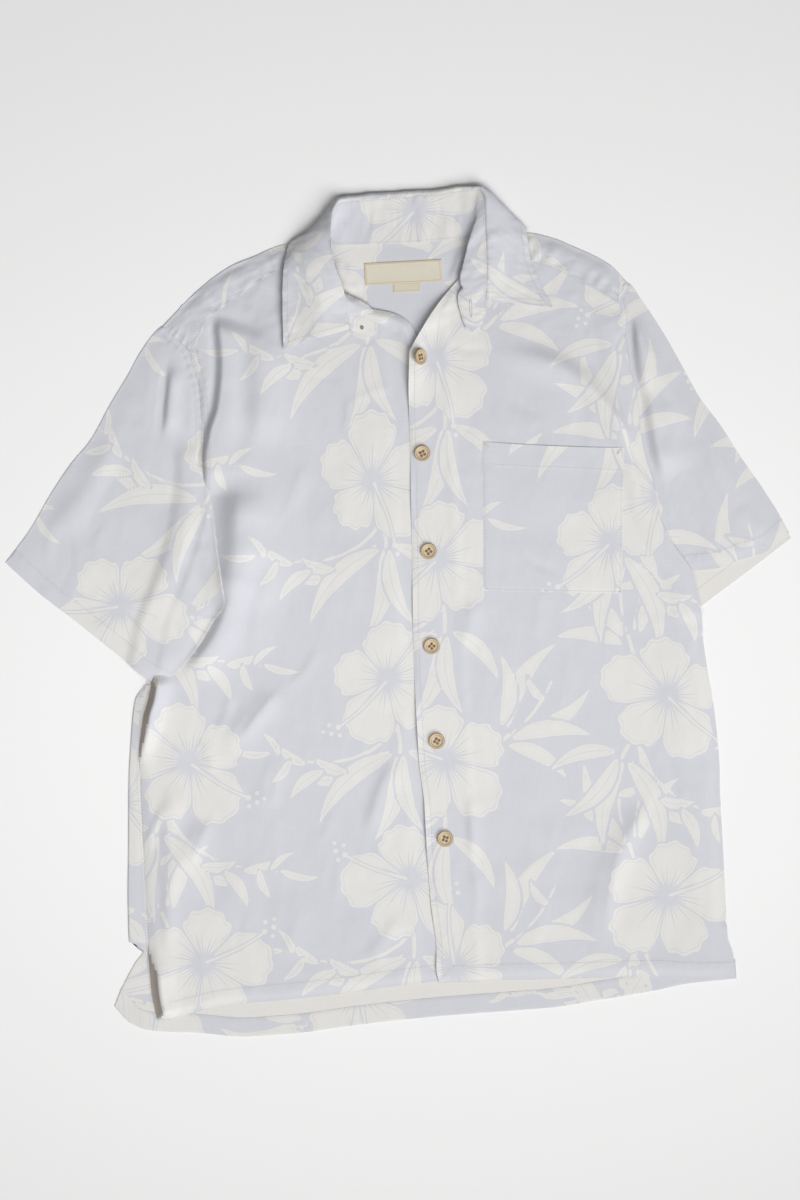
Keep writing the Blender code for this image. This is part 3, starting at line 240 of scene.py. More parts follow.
# Leaf, from the wearer's right tip round the neck to the left tip: its start over the
# stand, two points down its fall, and its outer edge. Behind the neck it is folded under.
LEAF = [
    # start                 upper                lower                edge
    (-37.0, 268.0, 7.2, -56.0, 263.0, 8.0, -78.0, 258.0, 5.4, -99.0, 252.0, 4.6),
    (-37.0, 284.0, 10.4, -57.0, 280.0, 10.2, -79.0, 275.0, 6.4, -98.5, 268.0, 4.6),
    (-38.0, 298.0, 14.4, -58.0, 296.0, 12.8, -79.0, 293.0, 7.4, -98.0, 285.0, 4.4),
    (-42.0, 314.0, 18.2, -60.0, 313.0, 15.4, -79.0, 312.0, 8.8, -97.0, 305.0, 4.2),
    (-47.0, 331.0, 20.6, -63.0, 331.0, 17.2, -80.0, 331.0, 10.0, -95.0, 325.0, 4.6),
    (-48.0, 347.0, 21.2, -64.0, 348.0, 17.2, -80.0, 346.0, 10.0, -92.0, 340.0, 4.8),
    (-48.0, 360.0, 20.2, -66.0, 360.0, 14.2, -79.0, 356.0, 8.0, -87.5, 352.5, 4.4),
    (-47.0, 370.0, 18.0, -61.0, 368.0, 11.0, -73.0, 362.0, 4.0, -82.0, 356.0, 2.0),
    (-46.0, 377.0, 16.2, -55.0, 376.0, 9.0, -63.0, 368.0, 1.8, -72.0, 353.5, 0.7),
    (-43.0, 384.0, 13.8, -48.5, 383.5, 7.5, -53.0, 376.0, 1.0, -60.0, 346.0, 0.5),
    (-37.0, 390.5, 10.6, -39.0, 393.0, 5.5, -41.0, 387.0, 0.7, -46.0, 340.0, 0.5),
    (-14.0, 392.3, 7.2, -14.0, 395.6, 4.0, -14.0, 389.0, 0.5, -15.0, 337.0, 0.5),
    (19.0, 392.7, 6.7, 19.0, 396.2, 3.6, 19.0, 389.0, 0.5, 20.0, 336.0, 0.5),
    (50.0, 392.7, 7.2, 50.0, 396.3, 4.0, 52.0, 389.0, 0.5, 55.0, 336.0, 0.5),
    (77.5, 395.8, 8.4, 79.0, 397.8, 5.0, 81.0, 391.0, 0.6, 86.0, 338.0, 0.5),
    (94.5, 395.8, 11.6, 98.0, 396.0, 6.5, 101.0, 388.0, 1.0, 108.0, 341.0, 0.5),
    (100.5, 383.0, 13.8, 109.0, 384.0, 10.0, 116.0, 377.0, 2.8, 121.0, 349.0, 0.7),
    (100.0, 366.0, 14.2, 113.0, 371.0, 11.4, 126.0, 367.5, 4.2, 131.0, 356.5, 1.6),
    (99.8, 352.0, 13.8, 114.0, 356.5, 11.4, 129.5, 359.5, 6.2, 137.5, 354.5, 4.0),
    (99.8, 341.0, 13.4, 115.0, 344.0, 10.8, 128.0, 345.0, 7.4, 137.5, 343.5, 4.8),
    (99.6, 328.0, 12.6, 114.0, 330.0, 10.2, 128.0, 331.0, 6.8, 138.5, 330.0, 4.4),
    (99.0, 316.0, 12.0, 115.0, 316.5, 9.2, 130.0, 316.0, 6.2, 142.5, 315.0, 4.2),
    (98.0, 300.0, 10.4, 116.0, 299.0, 8.2, 134.0, 298.0, 5.8, 149.5, 296.0, 4.0),
    (97.0, 287.0, 8.4, 117.0, 284.5, 6.8, 139.0, 281.5, 5.0, 158.0, 278.0, 4.3),
]

# ---- finer creases, hems and sewing ----------------------------------------------------------

# Small creases of the fronts and shoulders, in the columns of FOLDS.
CREASES = [
    (-140, 269, -142, 207, -149, 141, -1.4, 8, 9),
    (-144, 138, -152, 68, -166, -2, 14.0, 17, 26),
    (-157, 28, -176, -14, -209, -54, 7.0, 8, 18),
    (-112, 268, -120, 215, -124, 160, 2.2, 28, 34),
    (-117, -65, -138, -88, -165, -120, 1.4, 3.5, 7),
    (-79, -27, -97, -54, -114, -70, 0.8, 4, 7),
    (-199, -111, -191, -128, -183, -148, 1.1, 4, 6),
    (-124, -141, -130, -165, -138, -185, 0.8, 3.5, 6),
    (-188, -182, -201, -204, -214, -232, 1.3, 4, 7),
    (-234, -171, -246, -192, -256, -211, 1.4, 3.5, 6),
    (-250, -213, -236, -249, -240, -322, 2.2, 6.5, 9),
    (-76, -188, -83, -203, -92, -218, 0.6, 3.5, 6),
    (-13, -138, -34, -179, -47, -217, 1.3, 5, 10),
    (-15, -288, -35, -312, -58, -333, 1.4, 6, 10),
    (-74, -242, -76, -259, -79, -276, 0.5, 4, 7),
    (-86, 145, -95, 119, -109, 93, 0.8, 5, 9),
    (-42, 202, -42, 188, -46, 173, 0.8, 3, 5),
    (11, 214, -17, 208, -45, 196, 0.5, 4, 4),
    (-85, 231, -57, 223, -36, 226, -0.4, 4, 4),
    (-167, -67, -172, -88, -185, -109, 0.8, 4, 6),
    (-158, -272, -165, -296, -168, -319, 0.6, 5, 8),
    (-112, -275, -121, -303, -128, -326, 0.6, 5, 8),
    (151, 227, 198, 189, 239, 128, 1.2, 5, 5),
    (239, 128, 258, 86, 271, 47, 2.2, 6, 5),
    (94, 85, 118, 45, 157, 22, -0.8, 5, 5),
    (65, 8, 62, -18, 55, -47, 1.1, 5, 9),
    (133, 16, 129, -7, 123, -35, 0.5, 4, 7),
    (53, -176, 54, -203, 54, -230, 1, 5, 9),
    (56, -249, 58, -270, 57, -291, 0.9, 5, 9),
    (226, -186, 190, -253, 174, -324, 1.6, 5, 9),
    (241, -142, 247, -171, 250, -202, -0.8, 6, 6),
    (202, -28, 208, -48, 216, -67, -0.5, 5, 5),
    (109, 203, 122, 188, 146, 178, -0.5, 6, 6),
    (36, 183, 74, 167, 81, 161, -0.6, 6, 6),
    (158, -37, 152, -75, 140, -113, 0.5, 5, 9),
    (122, -264, 115, -297, 106, -330, 0.6, 5, 9),
    (262, -214, 264, -252, 264, -295, 0.8, 6, 8),
    (51, 282, 60, 286, 71, 288, 0.9, 3, 3),
    (54, 249, 74, 243, 97, 242, -0.8, 3, 4),
    (31, 264, 47, 271, 60, 275, 0.7, 3, 3),
    (-141, 312, -135, 302, -129, 292, -1, 5, 5),
    (-159, 303, -156, 292, -149, 282, -0.8, 4, 4),
    (211, 333, 218, 307, 223, 283, 0.8, 4, 4),
    (225, 328, 234, 304, 238, 284, -0.8, 4, 4),
    (196, 320, 204, 298, 207, 274, -0.5, 5, 5),
]

# Deep narrow slit of the right front beside its armhole.
SLIT = [(-175, 118), (-177, 150), (-172, 175), (-162, 205), (-156.5, 248), (-158, 284)]

# Small creases of the sleeves, in the same columns.
SLEEVE_CREASES = [
    (-211, 243, -217, 211, -222, 176, -3.0, 3, 3.2),
    (-203, 245, -209, 211, -213, 176, 2.4, 4, 7),
    (-225, 238, -232, 208, -239, 178, 0.3, 4, 5),
    (-333, 107, -344, 77, -355, 45, -1, 5, 6),
    (-262, 147, -278, 100, -292, 63, 0.8, 5, 9),
    (-195, 134, -201, 87, -213, 40, 0.9, 5, 9),
    (330, 74, 340, 50, 349, 26, -0.8, 5, 5),
    (237, 268, 236, 232, 240, 188, 5.2, 3, 12),
    (249, 200, 252, 155, 260, 108, 5.0, 15, 22),
    (251, 200, 256, 167, 260, 136, -1.2, 7, 7),
    (263, 119, 272, 71, 280, 32, -1.6, 8, 8),
    (296, 136, 310, 97, 328, 58, 0.9, 6, 8),
]

# Small creases inside the neck, in the same columns.
NECK_CREASES = [
    (-46, 338, -41, 322, -33, 306, 2.4, 3, 4),
    (-36, 334, -29, 318, -20, 302, 1.8, 3, 4),
    (-52, 322, -40, 311, -24, 305, 1.5, 3, 3),
    (76, 340, 70, 324, 62, 308, 2.2, 3, 5),
]

# Soft waves all over the cloth: wave lengths along and across, turn in degrees and height.
WAVES = [(88, 240, 28, 0.42), (57, 170, -34, 0.26), (34, 120, 41, 0.17), (21, 80, 22, 0.09)]

# Kinds of sewing, and how far in from the sewn edge each has its rows.
NO_SEWING, SEAM, ARMHOLE, HEM, EDGING = range(5)
SEWING = {SEAM: (1.6,), ARMHOLE: (1.6, 7.0), HEM: (15.0,), EDGING: (5.5,)}

# Rows of stitches that are drawn: distance in, and the middle and spread of the kinds with it.
DRAWN_ROWS = [(1.6, 0.5 * (SEAM + ARMHOLE), 0.8), (7.0, ARMHOLE, 0.4), (15.0, HEM, 0.4),
              (5.5, EDGING, 0.4)]
STITCH = 2.9          # length of one stitch
SPINE_STEPS = 12      # straight steps along a fold or crease
NOISE_CELLS = 97      # random heights along each side of the wrinkles' grid

# ---- print -----------------------------------------------------------------------------------

REPEAT = ((0.0, 195.0), (205.0, 62.0))   # from one motif to the next, up and to the side
MOTIF_REACH = 175                        # radius that holds all of one motif
PETALS = 5
PETAL = 58.0                             # length of a petal

# Leaves of one motif about its flower: foot x and y, angle, length, width and bend.
LEAVES = [
    (-9, -66, 192, 94, 17, 12), (-7, -70, 219, 98, 18, -12), (-3, -72, 250, 84, 17, 9),
    (3, -72, 281, 78, 15, -9), (8, -68, 311, 66, 14, 8),
    (-52, -83, 150, 34, 10, 4), (-74, -80, 216, 42, 11, -4), (-90, -73, 138, 34, 9, 3),
    (-122, -59, 168, 40, 7, 4), (-114, -63, 122, 30, 6, -3), (-104, -67, 224, 30, 8, 3),
    (60, 34, 32, 86, 16, -12), (56, 38, 62, 94, 17, 12), (50, 40, 94, 70, 14, -9),
    (61, 28, 4, 78, 16, 9), (58, 22, -28, 66, 14, 7), (90, 66, 128, 28, 8, 3),
]

# Stems: three points and the widths at both ends.
STEMS = [
    (0, -44, -40, -92, -124, -60, 3.6, 2.4), (0, -44, 2, -58, 0, -70, 3.8, 3.8),
    (34, 12, 46, 20, 58, 32, 3.6, 3.6), (58, 30, 84, 52, 96, 84, 3.2, 2.2),
]

# Dots at the tip of a flower's pistil: place and radius.
BUDS = [(-66, -20, 2.6), (-73, -14, 2.1), (-75, -23, 2.3), (-68, -28, 2.0), (-81, -18, 1.8)]

# How each piece is cut from the cloth: a flower's centre on it, turn in degrees and mirror.
CUTS = {
    "back": ((-57, -36), 0, -1.0), "yoke": ((-58, 330), 4, 1.0),
    "front_right": ((-12, -66), 2, 1.0), "front_left": ((41, 45), -2, 1.0),
    "sleeve_right": ((-263, 14), -38, 1.0), "sleeve_left": ((300, -60), 34, 1.0),
    "collar_leaf": ((230, 30), 8, 1.0), "collar_stand": ((208, 30), 0, 1.0),
    "pocket": ((206, 52), -2, 1.0),
}


# ---- stage -----------------------------------------------------------------------------------

SUN_FROM, SUN_SPREAD, SUN_STRENGTH = (0.56, -0.76, 0.90), 42.0, 2.5
LAMP_AT, LAMP_SIZE, LAMP_STRENGTH = (0.05, -0.10, 0.9), (1.3, 0.25), 4.1
SKY_STRENGTH = 0.17
CAMERA_AT, CAMERA_TURN = (-0.0016, 0.0093), -3.1
SENSOR = 0.036           # width of the camera's sensor in metres

# ---- lines and surfaces ----------------------------------------------------------------------

def smooth(t):
    """Ease from 0 to 1."""
    t = np.clip(t, 0.0, 1.0)
    return t * t * (3.0 - 2.0 * t)


def blend(points, knots, at):
    """Cubic interpolation of points that stand at the given knots, without overshoot."""
    points = np.array(points, float)
    knots = np.array(knots, float)
    step = np.diff(knots)[:, None]
    slope = np.diff(points, axis=0) / step
    inner = np.where(slope[:-1] * slope[1:] > 0.0,
                     2.0 * slope[:-1] * slope[1:] / (slope[:-1] + slope[1:] + 1e-12), 0.0)
    tangent = np.vstack([slope[:1], inner, slope[-1:]])
    at = np.clip(np.asarray(at, float), knots[0], knots[-1])
    cell = np.clip(np.searchsorted(knots, at, side="right") - 1, 0, len(knots) - 2)
    h = step[cell]
    t = ((at - knots[cell])[:, None]) / h
    return ((2 * t**3 - 3 * t**2 + 1) * points[cell] + (t**3 - 2 * t**2 + t) * h * tangent[cell]
            + (3 * t**2 - 2 * t**3) * points[cell + 1] + (t**3 - t**2) * h * tangent[cell + 1])


def along(points, count):
    """Points spaced evenly along a smooth line through the given ones."""
    points = np.array(points, float)
    length = np.r_[0.0, np.cumsum(np.linalg.norm(np.diff(points, axis=0), axis=1))]
    return blend(points, length / length[-1], np.linspace(0.0, 1.0, count))


def by_x(line, x):
    """Height in Y of a line at the given X."""
    line = np.array(sorted(line), float)
    x = np.asarray(x, float)
    return blend(line[:, 1:], line[:, 0], x.ravel())[:, 0].reshape(x.shape)


def by_y(line, y):
    """Place in X of a line at the given Y."""
    line = np.array(sorted((q, p) for p, q in line), float)
    line = line[np.r_[True, np.diff(line[:, 0]) > 1e-6]]
    y = np.asarray(y, float)
    return blend(line[:, 1:], line[:, 0], y.ravel())[:, 0].reshape(y.shape)


def nearest(x, y, line):
    """Distance of each place from a line."""
    best = np.full(np.shape(x), 1e9)
    for p in along(line, 60):
        best = np.minimum(best, np.hypot(x - p[0], y - p[1]))
    return best


def nearest_on(x, y, a, b):
    """Share of the way from a to b that is nearest each place, and the way there in X and Y."""
    run = b - a
    t = np.clip(((x - a[0]) * run[0] + (y - a[1]) * run[1]) / run.dot(run), 0.0, 1.0)
    return t, x - a[0] - t * run[0], y - a[1] - t * run[1]


def close_to(x, y, points, far):
    """Which places lie in the box of some points, or less than far outside it."""
    low, high = np.min(points, axis=0) - far, np.max(points, axis=0) + far
    return (x > low[0]) & (x < high[0]) & (y > low[1]) & (y < high[1])


def turned_by(x, y, degrees):
    """Ways along and across a direction at the given angle to X."""
    c, s = math.cos(math.radians(degrees)), math.sin(math.radians(degrees))
    return x * c + y * s, y * c - x * s


def fold_height(folds, x, y):
    """Sum of the ridges and troughs of a table at the given places."""
    total = np.zeros(np.shape(x))
    for x0, y0, x1, y1, x2, y2, height, left, right in folds:
        bends = [(x0, y0), (x1, y1), (x2, y2)]
        near = close_to(x, y, bends, 4.0 * max(left, right))
        if not near.any():
            continue
        px, py = x[near], y[near]
        spine = along(bends, SPINE_STEPS + 1)
        best = np.full(len(px), 1e9)
        side = np.zeros(len(px))
        place = np.zeros(len(px))
        for i, (a, b) in enumerate(zip(spine[:-1], spine[1:])):
            t, dx, dy = nearest_on(px, py, a, b)
            away = np.hypot(dx, dy)
            closer = away < best
            best = np.where(closer, away, best)
            side = np.where(closer, dx, side)
            place = np.where(closer, (i + t) / SPINE_STEPS, place)
        lean = smooth(0.5 + 0.8 * side / np.maximum(best, 1e-6))
        reach = left + (right - left) * lean
        taper = smooth(place / 0.3) * smooth((1.0 - place) / 0.3)
        total[near] += height * np.exp(-(best / reach)**2) * (0.12 + 0.88 * taper)
    return total


def waves(x, y):
    """Soft waves of cloth that was smoothed out by hand."""
    total = np.zeros(np.shape(x))
    for i, (short, long, turn, height) in enumerate(WAVES):
        a, b = turned_by(x, y, turn)
        bend = (1.3 * np.sin(math.tau * b / long + 1.7 * i)
                + 0.9 * np.sin(math.tau * b / (0.37 * long)))
        fade = 0.55 + 0.45 * np.sin(math.tau * (b + 0.4 * a) / (1.7 * long) + 2.1 * i)
        total += height * fade * np.sin(math.tau * a / short + bend + i)
    return total


def uneven(x, y, size, seed):
    """Smooth random height from -1 to 1 that changes over the given size."""
    grid = np.random.default_rng(seed).uniform(-1.0, 1.0, (NOISE_CELLS, NOISE_CELLS))
    u, v = x / size, y / size
    i, j = np.floor(u).astype(int), np.floor(v).astype(int)
    s, t = smooth(u - i), smooth(v - j)
    i, j = i % NOISE_CELLS, j % NOISE_CELLS
    k, m = (i + 1) % NOISE_CELLS, (j + 1) % NOISE_CELLS
    return ((grid[i, j] * (1 - s) + grid[k, j] * s) * (1 - t)
            + (grid[i, m] * (1 - s) + grid[k, m] * s) * t)


def rumple(x, y, turn, seed=5):
    """Fine uneven wrinkles that run across the given direction, about 1 high."""
    a, b = turned_by(x, y, turn)
    b = b + 3.0 * uneven(a, b, 26.0, seed)
    fine = uneven(a * 0.45, b, 6.0, seed + 1) + 0.6 * uneven(a * 0.5, b, 3.4, seed + 2)
    return 0.7 * uneven(a * 0.4, b, 11.0, seed + 3) + 0.5 * fine


def neck_lift(x, y):
    """Rise of the cloth over the leaf that lies under the back of the neck, with its creases."""
    crumple = fold_height(NECK_CREASES, x, y)
    crumple = 0.5 * (crumple + np.sqrt(crumple * crumple + 0.04)) - 0.1
    return crumple + (LEAF_LIFT * smooth((y - 311.0) / 22.0) * smooth((x + 84.0) / 9.0)
                      * smooth((128.0 - x) / 9.0))


def cloth_rise(x, y):
    """Rise of the upper layer over its resting height: loft, folds, creases and waves."""
    neck = by_x(RIGHT_FRONT_TOP, x) + smooth((x - 19.0) / 6.0) * (
        by_x(LEFT_FRONT_TOP, x) - by_x(RIGHT_FRONT_TOP, x))
    top = np.where((x > -64) & (x < 91), neck, by_x(YOKE_FOLD, x))
    left = x - by_y(RIGHT_FRONT_SIDE, y)
    right = by_y(LEFT_FRONT_SIDE, y) - x
    hem = y - np.where(x < 16, by_x(RIGHT_FRONT_HEM, x), by_x(LEFT_FRONT_HEM, x))
    inside = smooth(left / 9) * smooth(right / 16) * smooth(hem / 10) * smooth((top - y) / 11)
    lap = 1.0 - smooth((x + 6) / 12) * smooth((58 - x) / 12)
    raw = LOFT + fold_height(FOLDS, x, y) + fold_height(CREASES, x, y) + waves(x, y)
    raw = raw * inside * (lap + (1 - lap) * 0.12)
    upper = smooth((y - 225) / 60) * smooth(hem / 12) * smooth((top - y) / 8)
    fine = rumple(x, y, 70.0) * 0.16 * inside + rumple(x, y, 20.0, 31) * 0.42 * upper * lap
    return (neck_lift(x, y) + fine
            + 0.5 * (raw + np.sqrt(raw * raw + 0.3)) - 0.5 * math.sqrt(0.3))


def right_front_top(x, y):
    """Upper face of the wearer's right front."""
    return REST + WALL + cloth_rise(x, y)


def left_front_top(x, y):
    """Upper face of the wearer's left front, over the other front and the tucked sleeve."""
    lap = LAP_LIFT * smooth((62 - x) / 12)
    edge = by_y(LEFT_FRONT_SIDE, y)
    tuck = TUCK_LIFT * smooth((x - edge + 30) / 12) * smooth((y + 30) / 14)
    tuck = tuck * smooth((276 - y) / 18)
    return REST + WALL + cloth_rise(x, y) + lap + tuck + fold_height(ROLL, x, y)


def patch(left, right, bottom, top, columns, rows, decay=3.0):
    """Plan grid ruled between two sides, with its ends bent to the bottom and top lines."""
    u = np.asarray(columns, float)
    v = np.asarray(rows, float)
    left_y = left[0][1] + v * (left[-1][1] - left[0][1])
    right_y = right[0][1] + v * (right[-1][1] - right[0][1])
    a = np.stack([by_y(left, left_y), left_y], axis=1)
    b = np.stack([by_y(right, right_y), right_y], axis=1)
    grid = a[:, None, :] * (1 - u)[None, :, None] + b[:, None, :] * u[None, :, None]
    for line, weight in ((bottom, (1 - v)**decay), (top, v**decay)):
        x = line[0][0] + u * (line[-1][0] - line[0][0])
        chord = line[0][1] + u * (line[-1][1] - line[0][1])
        grid[:, :, 1] += weight[:, None] * (by_x(line, x) - chord)[None, :]
    return grid


def coons(start, end, first, last, rows, columns):
    """Plan grid between four lines: start and end rows, first and last columns."""
    v = np.asarray(rows, float)
    u = np.asarray(columns, float)

    def at(line, t):
        fine = along(line, 201)
        return np.stack([np.interp(t, np.linspace(0, 1, 201), fine[:, k]) for k in (0, 1)], axis=1)

    s, e, f, g = at(start, u), at(end, u), at(first, v), at(last, v)
    vv, uu = v[:, None, None], u[None, :, None]
    ruled = (1 - vv) * s[None] + vv * e[None] + (1 - uu) * f[:, None] + uu * g[:, None]
    corner = ((1 - vv) * ((1 - uu) * s[0] + uu * s[-1]) + vv * ((1 - uu) * e[0] + uu * e[-1]))
    return ruled - corner


def sewn_edges(x, y, edges, reach=26.0):
    """Distance from the nearest sewn edge, the way along it and its kind of sewing."""
    near = np.full(np.shape(x), reach)
    way = np.zeros(np.shape(x))
    kind = np.zeros(np.shape(x))
    for sort, points in edges:
        line = along(points, 4 + 3 * len(points))
        start = 0.0
        for a, b in zip(line[:-1], line[1:]):
            length = math.hypot(*(b - a))
            mask = close_to(x, y, (a, b), reach)
            t, dx, dy = nearest_on(x[mask], y[mask], a, b)
            away = np.hypot(dx, dy)
            closer = away < near[mask]
            near[mask] = np.where(closer, away, near[mask])
            way[mask] = np.where(closer, start + t * length, way[mask])
            kind[mask] = np.where(closer, sort, kind[mask])
            start += length
    return np.stack([near, way, kind], axis=-1)


def pucker(sewing):
    """Small gathers along the rows of sewing, and the step of a hem."""
    near, way, kind = sewing[..., 0], sewing[..., 1], sewing[..., 2]
    total = np.zeros(np.shape(near))
    ripple = np.sin(math.tau * way / 8.3 + 1.6 * np.sin(way / 17.0))
    ripple = ripple * (0.6 + 0.4 * np.sin(way / 31.0)) + 0.4 * np.sin(math.tau * way / 4.9)
    for sort, rows in SEWING.items():
        on = kind == sort
        height = 0.3 if sort == ARMHOLE else 0.13
        for row in rows:
            total = total + on * height * ripple * np.exp(-((near - row) / 3.2)**2)
            total = total - on * 0.14 * np.exp(-((near - row) / 0.9)**2)
    total = total + 0.32 * ((kind == HEM) * (1.0 - smooth((near - 15.5) / 1.6)))
    return total


def ribbon(table, stations, across):
    """Bent strip through a table of sections, and the way along and across it."""
    table = np.array(table, float)
    points = table.reshape(len(table), -1, 3)
    lengths = np.linalg.norm(np.diff(points.mean(axis=1), axis=0), axis=1)
    knots = np.r_[0.0, np.cumsum(lengths)]
    around = blend(table, knots, np.linspace(0, knots[-1], stations)).reshape(stations, -1, 3)
    middle = []
    for section in around:
        span = np.r_[0.0, np.cumsum(np.linalg.norm(np.diff(section, axis=0), axis=1))]
        middle.append(blend(section, span / span[-1], np.linspace(0, 1, across)))
    return np.array(middle)


def ways(points):
    """Lengths along and across a grid of places, from its middle."""
    step_u = np.linalg.norm(np.diff(points, axis=0), axis=2)
    step_v = np.linalg.norm(np.diff(points, axis=1), axis=2)
    u = np.concatenate([np.zeros((1, points.shape[1])), np.cumsum(step_u, axis=0)])
    u = np.repeat(u[:, [points.shape[1] // 2]], points.shape[1], axis=1)
    v = np.concatenate([np.zeros((points.shape[0], 1)), np.cumsum(step_v, axis=1)], axis=1)
    return u, v


def normals(points):
    """Unit normals of a grid of places."""
    normal = np.cross(np.gradient(points, axis=0), np.gradient(points, axis=1))
    return normal / np.maximum(np.linalg.norm(normal, axis=2), 1e-9)[:, :, None]


# ---- the print's flowers and leaves ------------------------------------------------------------

def leaf_place(x, y, leaf):
    """Signed distance inside a leaf and the way across it."""
    foot_x, foot_y, angle, length, width, bend = leaf
    u, v = turned_by(x - foot_x, y - foot_y, angle)
    p = np.clip(u / length, 0.0, 1.0)
    v = v - bend * 4 * p * (1 - p)
    half = 0.5 * width * np.sin(math.pi * p**0.72)**0.95
    beyond = np.abs(u - p * length)
    return np.where(beyond > 1e-6, -np.hypot(beyond, v), 0.95 * (half - np.abs(v))), v


def stem_place(x, y, stem):
    """Signed distance inside a bent stem."""
    x0, y0, x1, y1, x2, y2, foot, tip = stem
    best = np.full(np.shape(x), -1e3)
    t = np.linspace(0, 1, 8)
    px = (1 - t)**2 * x0 + 2 * t * (1 - t) * x1 + t * t * x2
    py = (1 - t)**2 * y0 + 2 * t * (1 - t) * y1 + t * t * y2
    line = np.stack([px, py], axis=1)
    for i, (a, b) in enumerate(zip(line[:-1], line[1:])):
        q, dx, dy = nearest_on(x, y, a, b)
        width = foot + (tip - foot) * (i + q) / 7
        best = np.maximum(best, 0.5 * width - np.hypot(dx, dy))
    return best


def printed(a, b, origin, turn, mirror):
    """Place in the nearest flower; distance inside the nearest leaf and the way across it."""
    a, b = turned_by(a.ravel() - origin[0], b.ravel() - origin[1], turn)
    a = mirror * a
    bloom = np.zeros((len(a), 3))
    bloom[:, 2] = 1e3
    sprig = np.zeros((len(a), 3))
    sprig[:, 0] = -1e3
    (up_x, up_y), (side_x, side_y) = REPEAT
    for i in range(-4, 5):
        for j in range(-5, 6):
            cx, cy = up_x * j + side_x * i, up_y * j + side_y * i
            near = np.flatnonzero(np.hypot(a - cx, b - cy) < MOTIF_REACH)
            if not len(near):
                continue
            flip = -1.0 if i % 2 else 1.0
            lie = 30.0 * (i % 2) + 4.0 * math.sin(2.3 * i + 1.1 * j)
            x, y = turned_by(flip * (a[near] - cx), b[near] - cy, lie)
            r = np.hypot(x, y)
            fx, fy = turned_by(x, y, 20.0 + 31.0 * (i + 2 * j))
            fy = fy * (1.06 + 0.06 * math.sin(i + j))
            lean = 5.0 * np.exp(-(r / 45.0)**2)
            closer = r < bloom[near, 2]
            bloom[near[closer]] = np.stack([fx + lean, fy - 0.6 * lean, r], axis=1)[closer]
            for stem in STEMS:
                sprig[near, 0] = np.maximum(sprig[near, 0], stem_place(x, y, stem))
                sprig[near, 2] = 9.0
            for leaf in LEAVES:
                d, v = leaf_place(x, y, leaf)
                under = np.minimum(sprig[near, 0], -d - 2.6)
                sprig[near, 0] = np.maximum(d, under)
                sprig[near, 2] = np.where(d > under, v, sprig[near, 2])
    return bloom, sprig


# ---- shader values -----------------------------------------------------------------------------

class Value:
    """A shader socket that arithmetic works on, by adding Math nodes."""

    def __init__(self, nodes, node, output=0):
        self.nodes = nodes
        self.node = node
        self.socket = node.outputs[output] if len(node.outputs) else None

    def out(self, name):
        """Another output of the same node."""
        return Value(self.nodes, self.node, name)

    def math(self, operation, *others, clamp=False):
        """Result of a Math node on this value and others."""
        return self.nodes.add("ShaderNodeMath", {"operation": operation, "use_clamp": clamp},
                              dict(enumerate([self, *others])))

    def __add__(self, other):
        return self.math("ADD", other)

    __radd__ = __add__

    def __sub__(self, other):
        return self.math("SUBTRACT", other)

    def __rsub__(self, other):
        return self.nodes.add("ShaderNodeMath", {"operation": "SUBTRACT"}, {0: other, 1: self})

    def __mul__(self, other):
        return self.math("MULTIPLY", other)

    __rmul__ = __mul__

    def __truediv__(self, other):
        return self.math("DIVIDE", other)

    def __pow__(self, other):
        return self.math("POWER", other)

    def __abs__(self):
        return self.math("ABSOLUTE")

    def edge(self, soft=0.35):
        """1 where the value is above 0, with a soft step."""
        return self.math("MULTIPLY_ADD", 1.0 / soft, 0.5, clamp=True)


class Nodes:
    """The node tree of one material."""

    def __init__(self, name):
        self.material = bpy.data.materials.new(name)
        self.material.use_nodes = True
        self.tree = self.material.node_tree
        self.tree.nodes.clear()

    def add(self, kind, settings=(), inputs=(), output=0):
        """A node of a type, with its settings, and the values or links of its sockets."""
        node = self.tree.nodes.new(kind)
        for key, value in dict(settings).items():
            setattr(node, key, value)
        for key, value in dict(inputs).items():
            if isinstance(value, Value):
                self.tree.links.new(value.socket, node.inputs[key])
            else:
                node.inputs[key].default_value = value
        return Value(self, node, output)

    def attribute(self, name):
        """The three parts of a vector that the piece carries."""
        vector = self.add("ShaderNodeAttribute", {"attribute_name": name}, output="Vector")
        parts = self.add("ShaderNodeSeparateXYZ", {}, {0: vector})
        return parts.out("X"), parts.out("Y"), parts.out("Z")

    def noise(self, vector, scale, detail=2.0, rough=0.5):
        """Noise about 0, from -0.5 to 0.5."""
        made = self.add("ShaderNodeTexNoise", {},
                        {"Vector": vector, "Scale": scale, "Detail": detail, "Roughness": rough})
        return made - 0.5

    def mix(self, factor, first, second):
        """A colour between two colours."""
        return self.add("ShaderNodeMix", {"data_type": "RGBA"},
                        {0: factor, 6: first, 7: second}, output=2)

    def finish(self, colour, roughness, height, distance, settings):
        """Principled shader with a bump, joined to the output."""
        bump = self.add("ShaderNodeBump", {}, {"Height": height, "Distance": distance})
        inputs = {"Base Color": colour, "Roughness": roughness, "Normal": bump}
        inputs.update(settings)
        shader = self.add("ShaderNodeBsdfPrincipled", {}, inputs)
        self.add("ShaderNodeOutputMaterial", {}, {"Surface": shader})
        return self.material


def shade(colour, factor):
    """A colour made darker or lighter."""
    return (*[c * factor for c in colour[:3]], 1.0)


